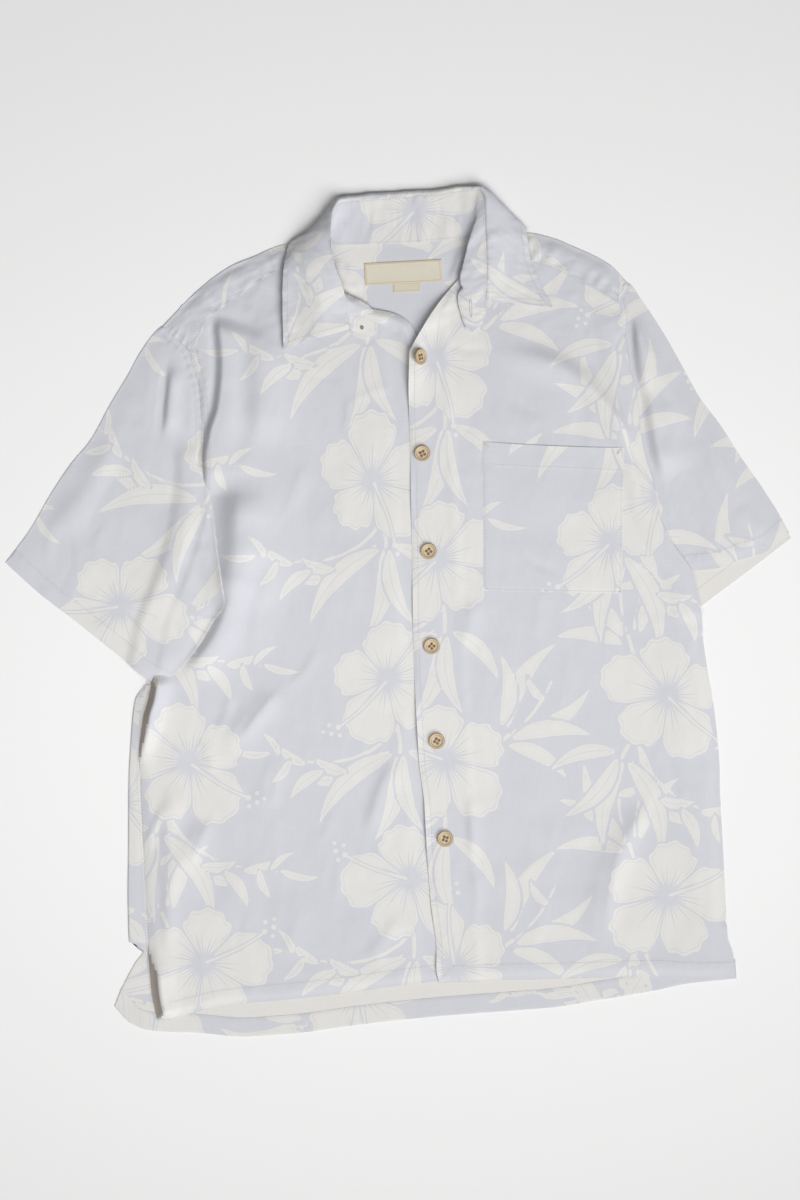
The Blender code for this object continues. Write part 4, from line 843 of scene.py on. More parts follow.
def printed_cloth(name, ground, cream, reverse=0.0):
    """Plain-woven cloth with hibiscus flowers and leaf sprays; the reverse shows them faintly."""
    n = Nodes(name)
    x, y, r_all = n.attribute("bloom")
    leaf, _, across = n.attribute("sprig")
    near, way, kind = n.attribute("sewing")
    a, b, _ = n.attribute("cut")
    place = n.add("ShaderNodeCombineXYZ", {}, {0: a, 1: b})
    wander = n.noise(place, 0.11, 3.0, 0.6)
    turn = math.tau / (2 * PETALS)
    r = (x * x + y * y).math("SQRT")
    angle = y.math("ARCTAN2", x)
    petal = (angle * (PETALS / math.tau)).math("ROUND")
    off = angle - petal * (math.tau / PETALS)
    share = off * (1 / turn)
    size = PETAL * (1.0 + 0.09 * (petal * (math.tau * 0.4) + 0.6).math("SINE")
                    + 0.04 * (petal * (math.tau * 0.2) + 2.0).math("COSINE"))
    lean = 0.05 * share * (petal * (math.tau * 0.4) + 1.0).math("SINE")
    ruffle = (off * 24.0 + petal * 1.3).math("SINE") * (0.5 + abs(share)) * 1.5 + wander * 3.0
    tip = size * (1.05 - 0.13 * abs(share) - 0.20 * abs(share) ** 3.0 + lean) + ruffle
    side = r * (turn - abs(off)).math("SINE") * 1.25 - 0.9
    inside = (tip - r).math("SMOOTH_MIN", side, 12.0).math("MINIMUM", 72.0 - r_all)
    outline = (0.45 - abs(inside - 3.0)).edge() * (r - 0.5 * size).edge(6.0)
    ray = share * 3.6
    number = ray.math("ROUND")
    length = size * (0.52 + 0.16 * (number * 2.1 + petal * 1.7).math("COSINE"))
    vein = (1.3 * (1.0 - r / length) - abs(ray - number) * r * 0.1745).edge()
    flower = inside.edge() * (1.0 - 0.7 * outline) * (1.0 - vein)
    run = (x * -1.0 - 3.0).math("MAXIMUM", 0.0).math("MINIMUM", 62.0)
    rise = y + 2.0 + run * 0.29 + (run * 0.05).math("SINE") * 2.4
    pistil = 1.5 - run * 0.008 - ((x + run + 3.0) ** 2.0 + rise * rise).math("SQRT")
    for bud_x, bud_y, radius in BUDS:
        gone = ((x - bud_x) ** 2.0 + (y - bud_y) ** 2.0).math("SQRT")
        pistil = pistil.math("MAXIMUM", radius - gone + wander * 1.5)
    leaf = leaf + wander * 1.6
    rib = (0.45 - abs(across + wander)).edge() * (leaf - 1.6).edge()
    leaf_line = (0.36 - abs(leaf - 1.9)).edge() * 0.4
    clear = 1.0 - (inside + 1.9).edge()
    leaves = leaf.edge() * (1.0 - rib.math("MAXIMUM", leaf_line) * 0.7) * clear
    motif = flower.math("MAXIMUM", leaves)
    motif = motif * (1.0 - (pistil + 1.2).edge() * (inside + 1.5).edge())
    motif = motif.math("MAXIMUM", pistil.edge())
    motif = motif * (1.0 - reverse)
    long_way, cross_way = [
        n.add("ShaderNodeVectorMath", {"operation": "MULTIPLY"}, {0: place, 1: stretch})
        for stretch in ((0.9, 0.05, 1), (0.04, 1.1, 1))]
    slub = n.noise(long_way, 1.0, 3.0) + n.noise(cross_way, 1.0, 3.0)
    cloud = n.noise(place, 0.02, 3.0)
    drawn = [(0.24 - abs(near - row)).edge(0.2) * (spread - abs(kind - middle)).edge(0.2)
             for row, middle, spread in DRAWN_ROWS]
    rows = drawn[0]
    for row in drawn[1:]:
        rows = rows.math("MAXIMUM", row)
    stitch = (0.36 - abs((way * (1 / STITCH)).math("FRACT") - 0.5)).edge(0.12)
    thread = rows * stitch
    hole = rows * (1.0 - stitch)
    tint = (slub * 0.9 + cloud * 0.5 + 0.5).math("MINIMUM", 1.0)
    dark = n.mix(tint, shade(ground, 0.955), shade(ground, 1.03))
    light = n.mix(tint, shade(cream, 0.96), shade(cream, 1.02))
    colour = n.mix(motif, dark, light)
    colour = n.mix(thread * 0.5, colour, shade(cream, 1.0))
    colour = n.mix(hole * 0.5, colour, shade(ground, 0.45))
    weave = (a * (math.tau / 0.62)).math("SINE") * (b * (math.tau / 0.62)).math("SINE")
    height = weave * 0.035 + slub * 0.05 + thread * 0.16 - hole * 0.12
    rough = 0.74 + cloud * 0.08 - motif * 0.03
    return n.finish(colour, rough, height, MM, {
        "Specular IOR Level": 0.28, "Sheen Weight": 0.12, "Sheen Roughness": 0.55})


def woven_label(name, field, border):
    """Dense satin weave with a plain border line."""
    n = Nodes(name)
    a, b, rim = n.attribute("cut")
    line = (0.42 - abs(rim - 1.5)).edge(0.2)
    place = n.add("ShaderNodeCombineXYZ", {}, {0: a, 1: b})
    grain = n.noise(place, 0.8, 2.0)
    rib = (b * (math.tau / 0.38)).math("SINE")
    warp = (a * (math.tau / 0.5)).math("SINE")
    base = n.mix(grain + 0.5, shade(field, 0.93), shade(field, 1.05))
    colour = n.mix((0.5 - rim * 0.5).math("MAXIMUM", 0.0), base, border)
    colour = n.mix(line * 0.5, colour, border)
    return n.finish(colour, 0.6 + grain * 0.15, rib * 0.05 + warp * rib * 0.03 + line * 0.1, MM, {
        "Specular IOR Level": 0.35, "Sheen Weight": 0.1})


def turned_wood(name, wood):
    """Pale turned wood with fine grain, a darker rim and edges worn smooth."""
    n = Nodes(name)
    x, y, z = n.attribute("turned")
    r = (x * x + y * y).math("SQRT")
    place = n.add("ShaderNodeCombineXYZ", {}, {0: x * 0.35, 1: y * 2.6, 2: z})
    grain = n.noise(place, 1.0, 4.0, 0.6)
    cloud = n.noise(place, 0.25, 2.0)
    rings = ((y * 2.2 + cloud * 6.0).math("SINE")) * 0.5 + 0.5
    streak = (grain * 1.4 + 0.5).math("MINIMUM", 1.0).math("MAXIMUM", 0.0)
    base = n.mix(streak, shade(wood, 0.72), shade(wood, 1.16))
    base = n.mix(rings * 0.25, base, shade(wood, 0.7))
    rim = (r - 6.7).edge(1.2) * 0.75
    dish = (0.6 - abs(r - 5.3)).edge(0.6) * 0.5
    ex, ey = abs(x) - HOLE_OUT, abs(y) - HOLE_OUT
    hole = (1.5 - (ex * ex + ey * ey).math("SQRT")).edge(0.8)
    colour = n.mix(rim.math("MAXIMUM", dish), base, (0.30, 0.17, 0.07, 1.0))
    colour = n.mix(hole * 0.75, colour, (0.10, 0.05, 0.02, 1.0))
    return n.finish(colour, 0.42 + grain * 0.2, grain * 0.05 + rings * 0.02, MM, {
        "Specular IOR Level": 0.45})


def spun_thread(name, colour):
    """Twisted sewing thread."""
    n = Nodes(name)
    spot = n.add("ShaderNodeTexCoord", output="Object")
    twist = n.add("ShaderNodeTexWave", {"bands_direction": "DIAGONAL"},
                  {"Vector": spot, "Scale": 900.0, "Distortion": 2.0, "Detail": 2.0})
    base = n.mix(twist, shade(colour, 0.7), shade(colour, 1.15))
    return n.finish(base, 0.7 - twist * 0.1, twist * 0.3, 0.0002, {"Sheen Weight": 0.2})


def studio_floor(name, pale):
    """Plain pale matte surface."""
    n = Nodes(name)
    spot = n.add("ShaderNodeTexCoord", output="Object")
    grain = n.noise(spot, 40.0, 3.0)
    colour = n.mix(grain + 0.5, shade(pale, 0.995), shade(pale, 1.005))
    return n.finish(colour, 0.9, grain * 0.05, 0.0001, {"Specular IOR Level": 0.15})


# ---- pieces ------------------------------------------------------------------------------------

def material(kind):
    """The finish of that kind, made once from the settings."""
    found = bpy.data.materials.get(kind)
    if found:
        return found
    scene = bpy.context.scene
    # The dark tan below is the facing's colour with painted shade in it, for the steep flanks of
    # the right front's side slot and vent.
    cloth, tan = scene.shirt_cloth, (0.44, 0.385, 0.33)
    ground, cream, reverse = [tuple(c) for c in (cloth.ground, cloth.motif, cloth.reverse)]
    makers = {
        "printed_face": lambda: printed_cloth(kind, ground, cream),
        "printed_reverse": lambda: printed_cloth(kind, reverse, cream, 0.55),
        "facing_painted_shade": lambda: printed_cloth(kind, tan, tan, 1.0),
        "label_satin": lambda: woven_label(kind, (0.74, 0.69, 0.57), (0.66, 0.47, 0.22, 1.0)),
        "tag_satin": lambda: woven_label(kind, (0.72, 0.67, 0.55), (0.66, 0.58, 0.42, 1.0)),
        "waxed_wood": lambda: turned_wood(kind, tuple(scene.shirt_buttons.wood)),
        "brown_thread": lambda: spun_thread(kind, (0.30, 0.17, 0.09)),
        "pale_thread": lambda: spun_thread(kind, (0.66, 0.65, 0.64)),
        "pale_floor": lambda: studio_floor(kind, tuple(scene.shirt_stage.floor)),
    }
    return makers[kind]()


def placed(name, data):
    """An object of that name in the scene."""
    obj = bpy.data.objects.new(name, data)
    bpy.context.scene.collection.objects.link(obj)
    return obj


def mesh_of(bm, name):
    """Mesh made from a bmesh, which is freed."""
    mesh = bpy.data.meshes.new(name)
    bm.to_mesh(mesh)
    bm.free()
    return mesh


def evaluated(obj):
    """Mesh of an object with its modifiers or tube made real; the object is removed."""
    bpy.context.view_layer.update()
    graph = bpy.context.evaluated_depsgraph_get()
    mesh = bpy.data.meshes.new_from_object(obj.evaluated_get(graph))
    bpy.data.objects.remove(obj)
    return mesh


def carry(mesh, name, values):
    """Give each vertex of a mesh a vector."""
    made = mesh.attributes.new(name, "FLOAT_VECTOR", "POINT")
    made.data.foreach_set("vector", np.ascontiguousarray(values, dtype=np.float32).ravel())


def dressed(name, mesh, node):
    """A new piece over a solid: it stands for the solid and rides on the shirt."""
    obj = placed(name, mesh)
    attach(obj, "root")
    if node:
        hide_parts(node)
    return obj


def grid_mesh(name, points, fields, keep=None, join=False):
    """Mesh of a grid of places in millimetres that carries the given vectors."""
    rows, columns = points.shape[:2]
    bm = bmesh.new()
    bmesh.ops.create_grid(bm, x_segments=columns - 1, y_segments=rows - 1, size=1.0)
    mesh = mesh_of(bm, name)
    if len(mesh.vertices) != rows * columns:
        raise RuntimeError(f"{name}: the grid has {len(mesh.vertices)} points")
    mesh.vertices.foreach_set("co", np.ascontiguousarray(points * MM, dtype=np.float32).ravel())
    for key, values in fields.items():
        carry(mesh, key, values)
    bm = bmesh.new()
    bm.from_mesh(mesh)
    if keep is not None:
        flags = keep.ravel()
        gone = [face for face in bm.faces if not flags[face.index]]
        bmesh.ops.delete(bm, geom=gone, context="FACES")
    if join:
        bmesh.ops.remove_doubles(bm, verts=bm.verts, dist=1e-6)
    for face in bm.faces:
        face.smooth = True
    for edge in bm.edges:
        edge.smooth = not edge.is_boundary
    bm.to_mesh(mesh)
    bm.free()
    mesh.update()
    return mesh


def face_up(mesh, points, cell):
    """Turn the faces of a mesh over if the one nearest a grid cell looks down."""
    row, column = cell
    spot = np.array(points[row, column]) * MM
    centres = np.zeros(len(mesh.polygons) * 3, np.float32)
    mesh.polygons.foreach_get("center", centres)
    found = int(np.argmin(((centres.reshape(-1, 3) - spot)**2).sum(axis=1)))
    if mesh.polygons[found].normal.z < 0:
        mesh.flip_normals()


def thicken(obj, thickness, offset=-1.0):
    """Give a sheet its thickness with a live modifier."""
    wall = obj.modifiers.new("thickness", "SOLIDIFY")
    wall.thickness = thickness
    wall.offset = offset
    return wall


def lay_cloth(name, points, flat, sewing, node, up=None, keep=None, join=False,
              thickness=None, offset=-1.0, reverse=True):
    """Sheet of printed cloth through a grid of places, thickened towards its reverse."""
    bloom, sprig = printed(flat[..., 0], flat[..., 1], *CUTS[node])
    plan = np.concatenate([flat, np.zeros(flat.shape[:2] + (1,))], axis=2)
    fields = {"bloom": bloom, "sprig": sprig, "sewing": sewing, "cut": plan}
    mesh = grid_mesh(name, points, fields, keep, join)
    face_up(mesh, points, up or (points.shape[0] // 2, points.shape[1] // 2))
    mesh.materials.append(material("printed_face"))
    mesh.materials.append(material("printed_reverse" if reverse else "printed_face"))
    obj = dressed(name, mesh, node)
    usual = bpy.context.scene.shirt_cloth.thickness
    wall = thicken(obj, usual if thickness is None else thickness * MM, offset)
    wall.material_offset = 1
    wall.material_offset_rim = 0
    return obj


def turned_edge(edge, inward, top, bottom, steps):
    """Half-round of a folded edge, from its top to its bottom; the arrays are by row."""
    found = []
    for angle in np.linspace(0.5 * math.pi, -0.5 * math.pi, steps):
        place = edge + inward * (EDGE * (1.0 - math.cos(angle)))
        z = 0.5 * (top + bottom) + 0.5 * (top - bottom) * math.sin(angle)
        found.append(np.column_stack([place, z]))
    return found


def settle(points, drop, distance, width=1.6):
    """Lower the places that lie near an edge, so that they dip into its seam."""
    points[..., 2] -= drop * (1.0 - smooth(distance / width))
    return points


def back_cloth():
    """Back, flat on the surface: hem turned up inside, right edge turned over to the seam."""
    rows = np.linspace(0, 1, 168)
    side = [(-293, -362), (-285, -344), (-272, -322), (-262, -308), (-276, -301)]
    grid = patch(side + BACK_SIDE_RIGHT[4:], BACK_SIDE_LEFT, BACK_HEM, [(-187, 235), (214, 235)],
                 np.linspace(0, 1, 138), rows, 4.0)
    count = len(rows)
    edge = grid[:, 0]
    inward = np.tile([1.0, 0.0], (count, 1))
    seam = by_y(RIGHT_FRONT_SIDE, edge[:, 1])
    turned = (edge[:, 1] > -352) & (edge[:, 1] < -57)
    ease = smooth((edge[:, 1] + 359) / 7) * smooth((-50 - edge[:, 1]) / 7)
    high = 0.75 + 1.1 * smooth((edge[:, 1] + 309) / 9)
    top = 0.75 + 0.8 * smooth((edge[:, 1] + 309) / 14) * smooth((-57 - edge[:, 1]) / 24)
    strip = []
    for way, z in ((4.0, -0.9), (1.0, -0.6), (-0.3, -0.35), (-0.9, -0.12), (-2.4, 0.0)):
        strip.append(np.column_stack([seam + way, edge[:, 1], np.maximum(high + z, 0.55)]))
    lip = seam - 2.4
    for t in (0.12, 0.25, 0.4, 0.55, 0.7, 0.85):
        line = lip + t * (edge[:, 0] + EDGE - lip)
        swell = 0.1 * np.sin(edge[:, 1] / 19.0) + 0.08 * np.sin(edge[:, 1] / 7.3)
        body = high + swell - top
        strip.append(np.column_stack([line, edge[:, 1], top + body * smooth((1 - t) / 0.6)]))
    strip += turned_edge(edge, inward, top, np.zeros(count), 7)[:-1]
    flat = np.dstack([grid, np.zeros(grid.shape[:2])])
    gap = grid[:, :, 0] - edge[:, :1]
    flat[..., 0] += EDGE * ease[:, None] * (1.0 - smooth(gap / 9.0))
    points = np.concatenate([np.stack(strip, axis=1), flat], axis=1)
    lead = len(strip)
    hem_rows = []
    for way in (18.0, 17.2, 14.0, 10.0, 6.0, 3.0, 0.9):
        row = points[0].copy()
        row[:, 0] += way * 8.0 / 18.0 * (1.0 - smooth((row[:, 0] + 292) / 30))
        row[:, 1] += way
        wave = 0.12 * np.sin(row[:, 0] / 6.1) + 0.1 * np.sin(row[:, 0] / 2.7 + 1.0)
        row[:, 2] = 1.0 + wave * (1.0 if way < 17 else 0.4) - (0.32 if way > 17.5 else 0.0)
        hem_rows.append(row)
    for way, z in ((0.3, 0.86), (0.0, 0.5), (0.3, 0.14)):
        row = points[0].copy()
        row[:, 1] += way
        row[:, 2] = z
        hem_rows.append(row)
    points[0, :, 1] += 0.9
    points = np.concatenate([np.array(hem_rows), points])
    head = len(hem_rows)
    keep = np.ones((points.shape[0] - 1, points.shape[1] - 1), bool)
    inside = np.r_[np.zeros(head, bool), turned]
    keep[:, :lead] &= (inside[:-1] & inside[1:])[:, None]
    keep[:head, :lead] = False
    run = np.concatenate([np.linspace(-26.0, 0.0, lead)[None, :].repeat(count, 0), gap], axis=1)
    cut_x = np.concatenate([edge[:1, 0] + run[:1].repeat(head, 0), edge[:, :1] + run])
    cut_y = points[..., 1].copy()
    cut_y[:head] = 2 * points[head, :, 1] - points[:head, :, 1]
    flat_cut = np.stack([cut_x, cut_y], axis=-1)
    x, y = points[..., 0], points[..., 1]
    sewing = np.zeros(points.shape)
    sewing[..., 0] = 30.0
    sewing[:head, :, 0] = 18.6 - (y[:head] - y[head])
    sewing[:head, :, 1] = x[:head]
    sewing[:head, :, 2] = SEAM
    strip_way = np.abs(x - np.r_[np.full(head, seam[0]), seam][:, None])
    sewing[head:, :lead, 0] = strip_way[head:, :lead]
    sewing[head:, :lead, 1] = y[head:, :lead]
    sewing[head:, :lead, 2] = SEAM
    obj = lay_cloth("back_cloth", points, flat_cut, sewing, "back",
                    up=(head + count // 2, 6), keep=keep, thickness=0.5)
    obj.data.materials.append(material("printed_face"))
    for face in obj.data.polygons:
        place = face.center / MM
        if place.x < -254 and -360 < place.y < -298 and place.z < 0.4:
            face.material_index = 1
    return obj


def yoke_cloth():
    """Yoke: flat behind the neck, and turned over each shoulder to its front seam."""
    side, across, behind = 68, 72, 50   # points to the neck, across it, and rows behind it
    x = np.concatenate([np.linspace(-215, -66, side), np.linspace(-66, 91, across)[1:],
                        np.linspace(91, 231, 64)[1:]])
    first, last = side - 1, side + across - 2
    share = (x - x[0]) / (x[-1] - x[0])
    fold = np.stack([x, by_x(YOKE_FOLD, x)], axis=1)
    low = np.stack([-187 + share * 401.0, np.full(len(x), YOKE_BOTTOM)], axis=1)
    seam = fold.copy()
    left = share[:first + 1] / share[first]
    seam[:first + 1, 0] = -189 + left * 125
    seam[:first + 1, 1] = by_x(RIGHT_FRONT_TOP, seam[:first + 1, 0]) - 1.3
    right = (share[last:] - share[last]) / (1 - share[last])
    seam[last:, 0] = 91 + right * 130
    seam[last:, 1] = by_x(LEFT_FRONT_TOP, seam[last:, 0]) - 1.3
    neck = smooth((np.arange(len(x)) - first + 3) / 6) * smooth((last + 3 - np.arange(len(x))) / 6)

    def fitted(point):
        start = by_y(YOKE_SIDE_RIGHT, point[:1, 1]) - point[0, 0]
        stop = by_y(YOKE_SIDE_LEFT, point[-1:, 1]) - point[-1, 0]
        point = point.copy()
        point[:, 0] += start * (1 - share)**4 + stop * share**4
        return point

    begin = fitted(fold) - np.column_stack([0 * x, EDGE * (1 - neck)])
    rows = []
    for t in np.linspace(0, 1, behind):
        point = fitted(low + t * (begin - low)) if t < 1 else begin
        rows.append(np.column_stack([point, neck_lift(point[:, 0], point[:, 1])]))
    tip = fitted(fold)
    start = tip - np.array([0, EDGE])
    thin = 1.6
    top = REST + WALL - thin + cloth_rise(start[:, 0], start[:, 1])
    bottom = rows[-1][:, 2]
    for angle in np.linspace(-0.5 * math.pi, 0.5 * math.pi, 7)[1:]:
        place = tip - np.column_stack([0 * x, np.full(len(x), EDGE * (1 - math.cos(angle)))])
        rows.append(np.column_stack([place, 0.5 * (top + bottom)
                                     + 0.5 * (top - bottom) * math.sin(angle)]))
    turn = behind - 1
    for t in np.linspace(0, 1, 44)[1:]:
        point = fitted(start + t * (seam - start))
        near_fold = thin * (1.0 - smooth(np.linalg.norm(point - start, axis=1) / 13.0))
        rows.append(np.column_stack([point, REST + WALL - near_fold + 0.3 * t**4
                                     + cloth_rise(point[:, 0], point[:, 1])]))
    points = np.array(rows)
    px, py = points[..., 0], points[..., 1]
    edges = [(SEAM, seam[:first + 1]), (SEAM, seam[last:]), (ARMHOLE, RIGHT_ARMHOLE[:5]),
             (ARMHOLE, LEFT_ARMHOLE[:4])]
    sewing = sewn_edges(px, py, edges)
    upper = np.zeros(points.shape[:2])
    upper[turn + 4:] = 1.0
    sewing[..., 0] = np.where(upper > 0, sewing[..., 0], 26.0)
    near = sewing[..., 0]
    rough = upper * smooth((24 - near) / 20)
    wrinkle = 0.85 * np.sin(sewing[..., 1] / 2.6 + 1.2 * np.sin(sewing[..., 1] / 9.0))
    points[..., 2] += upper * pucker(sewing)
    points[..., 2] += rough * wrinkle * (sewing[..., 2] == SEAM) * smooth(near / 3) * 0.75
    points[..., 2] += 0.5 * upper * rumple(px, py, 15.0, 61) * smooth(near / 4)
    armhole = sewing[..., 2] == ARMHOLE
    points = settle(points, np.where(armhole, 0.75, 0.25) * upper, near,
                    np.where(armhole, 3.2, 2.0))
    keep = np.ones((points.shape[0] - 1, points.shape[1] - 1), bool)
    keep[turn:, first:last] = False
    flat = np.stack([px, py], axis=-1)
    flat[turn:, :, 1] = 2 * tip[None, :, 1] - py[turn:]
    obj = lay_cloth("yoke_cloth", points, flat, sewing, "yoke",
                    up=(points.shape[0] - 12, 30), keep=keep, thickness=0.35, reverse=False)
    return obj


def right_front_cloth():
    """Wearer's right front, which runs on under the button edge of the other front."""
    side = [(px + 0.2, py) for px, py in along(RIGHT_FRONT_SIDE, 120)]
    grid = patch(side, RIGHT_FRONT_LAP, RIGHT_FRONT_HEM, RIGHT_FRONT_TOP,
                 np.linspace(0, 1, 132), np.linspace(0, 1, 292))
    x, y = grid[..., 0], grid[..., 1]
    neck = RIGHT_FRONT_TOP[7:]
    edges = [(HEM, RIGHT_FRONT_HEM), (SEAM, RIGHT_FRONT_SIDE[:8]),
             (ARMHOLE, RIGHT_FRONT_SIDE[8:]), (SEAM, RIGHT_FRONT_TOP[:6])]
    sewing = sewn_edges(x, y, edges)
    z = right_front_top(x, y) + pucker(sewing)
    roll = sewn_edges(x, y, [(NO_SEWING, neck)])
    z = z + 2.6 * np.exp(-((roll[..., 0] - 6.0) / 4.6)**2) * smooth((26 - x) / 12)
    z = z + 0.35 * np.exp(-((roll[..., 0] - 14.0) / 2.2)**2) * np.sin(roll[..., 1] / 3.1)
    slot = smooth((y + 142) / 50) * smooth((-46 - y) / 14)
    vent = smooth((-303 - y) / 34) * smooth((y + 379) / 12)
    opening = slot + vent
    way = x - by_y(RIGHT_FRONT_SIDE, y)
    crest = 1.5 + 6.0 * slot + 8.0 * vent
    spread = np.where(way < crest, 3.1 + 1.3 * vent, 9.0)
    z = z + 9.0 * opening * np.exp(-((way - crest) / spread)**2)
    z = z - 0.35 * smooth((-120 - y) / 20) * (1.0 - vent) * np.exp(-(way / 3.0)**2)
    away = x - by_y(SLIT, y)
    window = smooth((y - 116) / 26) * smooth((288 - y - 0.3 * np.maximum(away, 0.0)) / 16)
    foot = 4.4 + 3.0 * (1.0 - smooth((y - 120) / 45))
    step = np.where(away > 0, np.exp(-(away / 36.0)**2), np.exp(-(away / foot)**2))
    z = z + 7.0 * window * step
    z = z - 1.2 * window * np.exp(-((away + 8.0) / 4.0)**2)
    points = np.dstack([x, y, z])
    hem, armhole = sewing[..., 2] == HEM, sewing[..., 2] == ARMHOLE
    points = settle(points, np.where(hem, 0.8, np.where(armhole, 0.75, 0.3)), sewing[..., 0],
                    np.where(hem, 8.0, np.where(armhole, 3.2, 1.6)))
    points = settle(points, 0.5, roll[..., 0], 2.0)
    obj = lay_cloth("right_front_cloth", points, grid, sewing, "front_right")
    # Painted shade: the steep inner flanks of the side slot and the vent take a plain dark tan,
    # which is the facing's colour darkened to stand in for their shadow.
    obj.data.materials.append(material("facing_painted_shade"))
    inner = (opening > 0.12) & (way < crest - 0.6)
    inner = (inner[:-1, :-1] & inner[1:, 1:]).ravel()
    obj.data.polygons.foreach_set("material_index", 2 * inner.astype(np.int32))
    return obj


# Where the button edge stands off the front beneath it: height, place in Y and reach.
BUTTON_EDGE_LIFTS = [(2.6, 226, 34), (1.5, 110, 28), (1.4, 8, 24), (2.8, -110, 30), (3.2, -208, 34),
                     (1.2, -290, 24), (2.8, -342, 14)]


def left_front_cloth():
    """Wearer's left front with the button edge, its outer side turned under to the seam."""
    grid = patch(LEFT_FRONT_EDGE, LEFT_FRONT_SIDE, LEFT_FRONT_HEM, LEFT_FRONT_TOP,
                 np.linspace(0, 1, 126), np.linspace(0, 1, 292))
    edge = grid[:, -1].copy()
    ease = smooth((edge[:, 1] + 318) / 8) * smooth((-34 - edge[:, 1]) / 8)
    plan = grid.copy()
    gap = edge[:, :1] - grid[:, :, 0]
    plan[..., 0] -= EDGE * ease[:, None] * (1.0 - smooth(gap / 8.0))
    x, y = plan[..., 0], plan[..., 1]
    edges = [(HEM, LEFT_FRONT_HEM), (EDGING, LEFT_FRONT_EDGE), (SEAM, LEFT_FRONT_TOP[7:])]
    armhole = sewn_edges(x, y, [(ARMHOLE, LEFT_ARMHOLE)])
    sewing = sewn_edges(x, y, edges)
    z = left_front_top(x, y) + pucker(sewing)
    lapel = sewn_edges(x, y, [(NO_SEWING, LEFT_FRONT_TOP[:6])])
    z = z + 0.5 * np.exp(-((lapel[..., 0] - 5.0) / 4.0)**2) * np.sin(lapel[..., 1] / 4.7)
    top = np.dstack([x, y, z])
    hem, button_edge = sewing[..., 2] == HEM, sewing[..., 2] == EDGING
    lift = sum(a * np.exp(-((y - b) / c)**2) for a, b, c in BUTTON_EDGE_LIFTS)
    drop = np.where(hem, 0.8, np.where(button_edge, 1.15 - lift, 0.3))
    top = settle(top, drop, sewing[..., 0], np.where(hem, 8.0, np.where(button_edge, 4.5, 1.6)))
    top[..., 2] -= 1.25 * ease[:, None] * (1.0 - smooth(gap / 13.0))
    top = settle(top, 0.55 * (1.0 - ease[:, None]) * smooth((y + 40) / 20), armhole[..., 0], 3.6)
    count = len(edge)
    turned = (edge[:, 1] > -312) & (edge[:, 1] < -40)
    inward = np.tile([-1.0, 0.0], (count, 1))
    rows = turned_edge(edge, inward, top[:, -1, 2], np.full(count, 0.02), 8)[1:]
    for way in (4.0, 7.0, 10.3):
        rows.append(np.column_stack([edge[:, 0] - way, edge[:, 1], np.full(count, 0.02)]))
    points = np.concatenate([top, np.stack(rows, axis=1)], axis=1)
    columns = grid.shape[1]
    keep = np.ones((count - 1, points.shape[1] - 1), bool)
    keep[:, columns - 1:] = (turned[:-1] & turned[1:])[:, None]
    flat = np.concatenate([grid, np.stack([np.column_stack([2 * edge[:, 0] - r[:, 0], r[:, 1]])
                                           for r in rows], axis=1)], axis=1)
    more = np.zeros((count, len(rows), 3))
    more[..., 0] = 26.0
    sewing = np.concatenate([sewing, more], axis=1)
    obj = lay_cloth("left_front_cloth", points, flat, sewing, "front_left",
                    up=(count // 2, columns // 2), keep=keep)
    return obj


def sleeve_loft(x, y, outer, eased, armhole):
    """Gap between a sleeve's two layers; eased is its share left beside the inner edge."""
    inside = smooth(nearest(x, y, outer) / 24) * eased * smooth(nearest(x, y, armhole) / 10)
    raw = SLEEVE_LOFT + fold_height(SLEEVE_FOLDS, x, y) + fold_height(SLEEVE_CREASES, x, y)
    return 0.35 + inside * np.maximum(raw + waves(x, y), 0.0)


def sleeve_tube(grid, low, puff, hidden_rows):
    """Flattened tube round a plan grid, from the underarm seam round the shoulder fold and back."""
    count = grid.shape[1]
    unit = grid[:, 3] - grid[:, 0]
    unit = unit / np.linalg.norm(unit, axis=1)[:, None]
    unit_in = grid[:, -4] - grid[:, -1]
    unit_in = unit_in / np.linalg.norm(unit_in, axis=1)[:, None]
    way_out = np.linalg.norm(grid - grid[:, :1], axis=2)
    way_in = np.linalg.norm(grid - grid[:, -1:], axis=2)
    body = grid + unit[:, None] * (EDGE * (1 - smooth(way_out / 7)))[..., None]
    body = body + unit_in[:, None] * (EDGE * (1 - smooth(way_in / 7)))[..., None]
    x, y = body[..., 0], body[..., 1]
    bottom = low(x, y)
    top = bottom + 0.4 + 0.7 * smooth(np.minimum(way_out, way_in) / 22.0) + puff(x, y)
    lower = np.dstack([x, y, bottom])[:, ::-1]
    upper = np.dstack([x, y, top])
    outer = turned_edge(grid[:, 0], unit, top[:, 0], bottom[:, 0], 8)[1:-1][::-1]
    inner = turned_edge(grid[:, -1], unit_in, top[:, -1], bottom[:, -1], 8)[1:-1]
    points = np.concatenate([lower, np.stack(outer, 1), upper, np.stack(inner, 1), lower[:, :1]],
                            axis=1)
    mirrored = grid[:, :1] - unit[:, None] * way_out[..., None]
    cut = [mirrored[:, ::-1], grid[:, :1].repeat(len(outer), 1), grid,
           grid[:, -1:].repeat(len(inner), 1), mirrored[:, -1:]]
    flat = np.concatenate(cut, axis=1)
    keep = np.ones((points.shape[0] - 1, points.shape[1] - 1), bool)
    if hidden_rows:
        keep[-hidden_rows:, count - 1:] = False
    return points, flat, keep, slice(count + len(outer), 2 * count + len(outer))


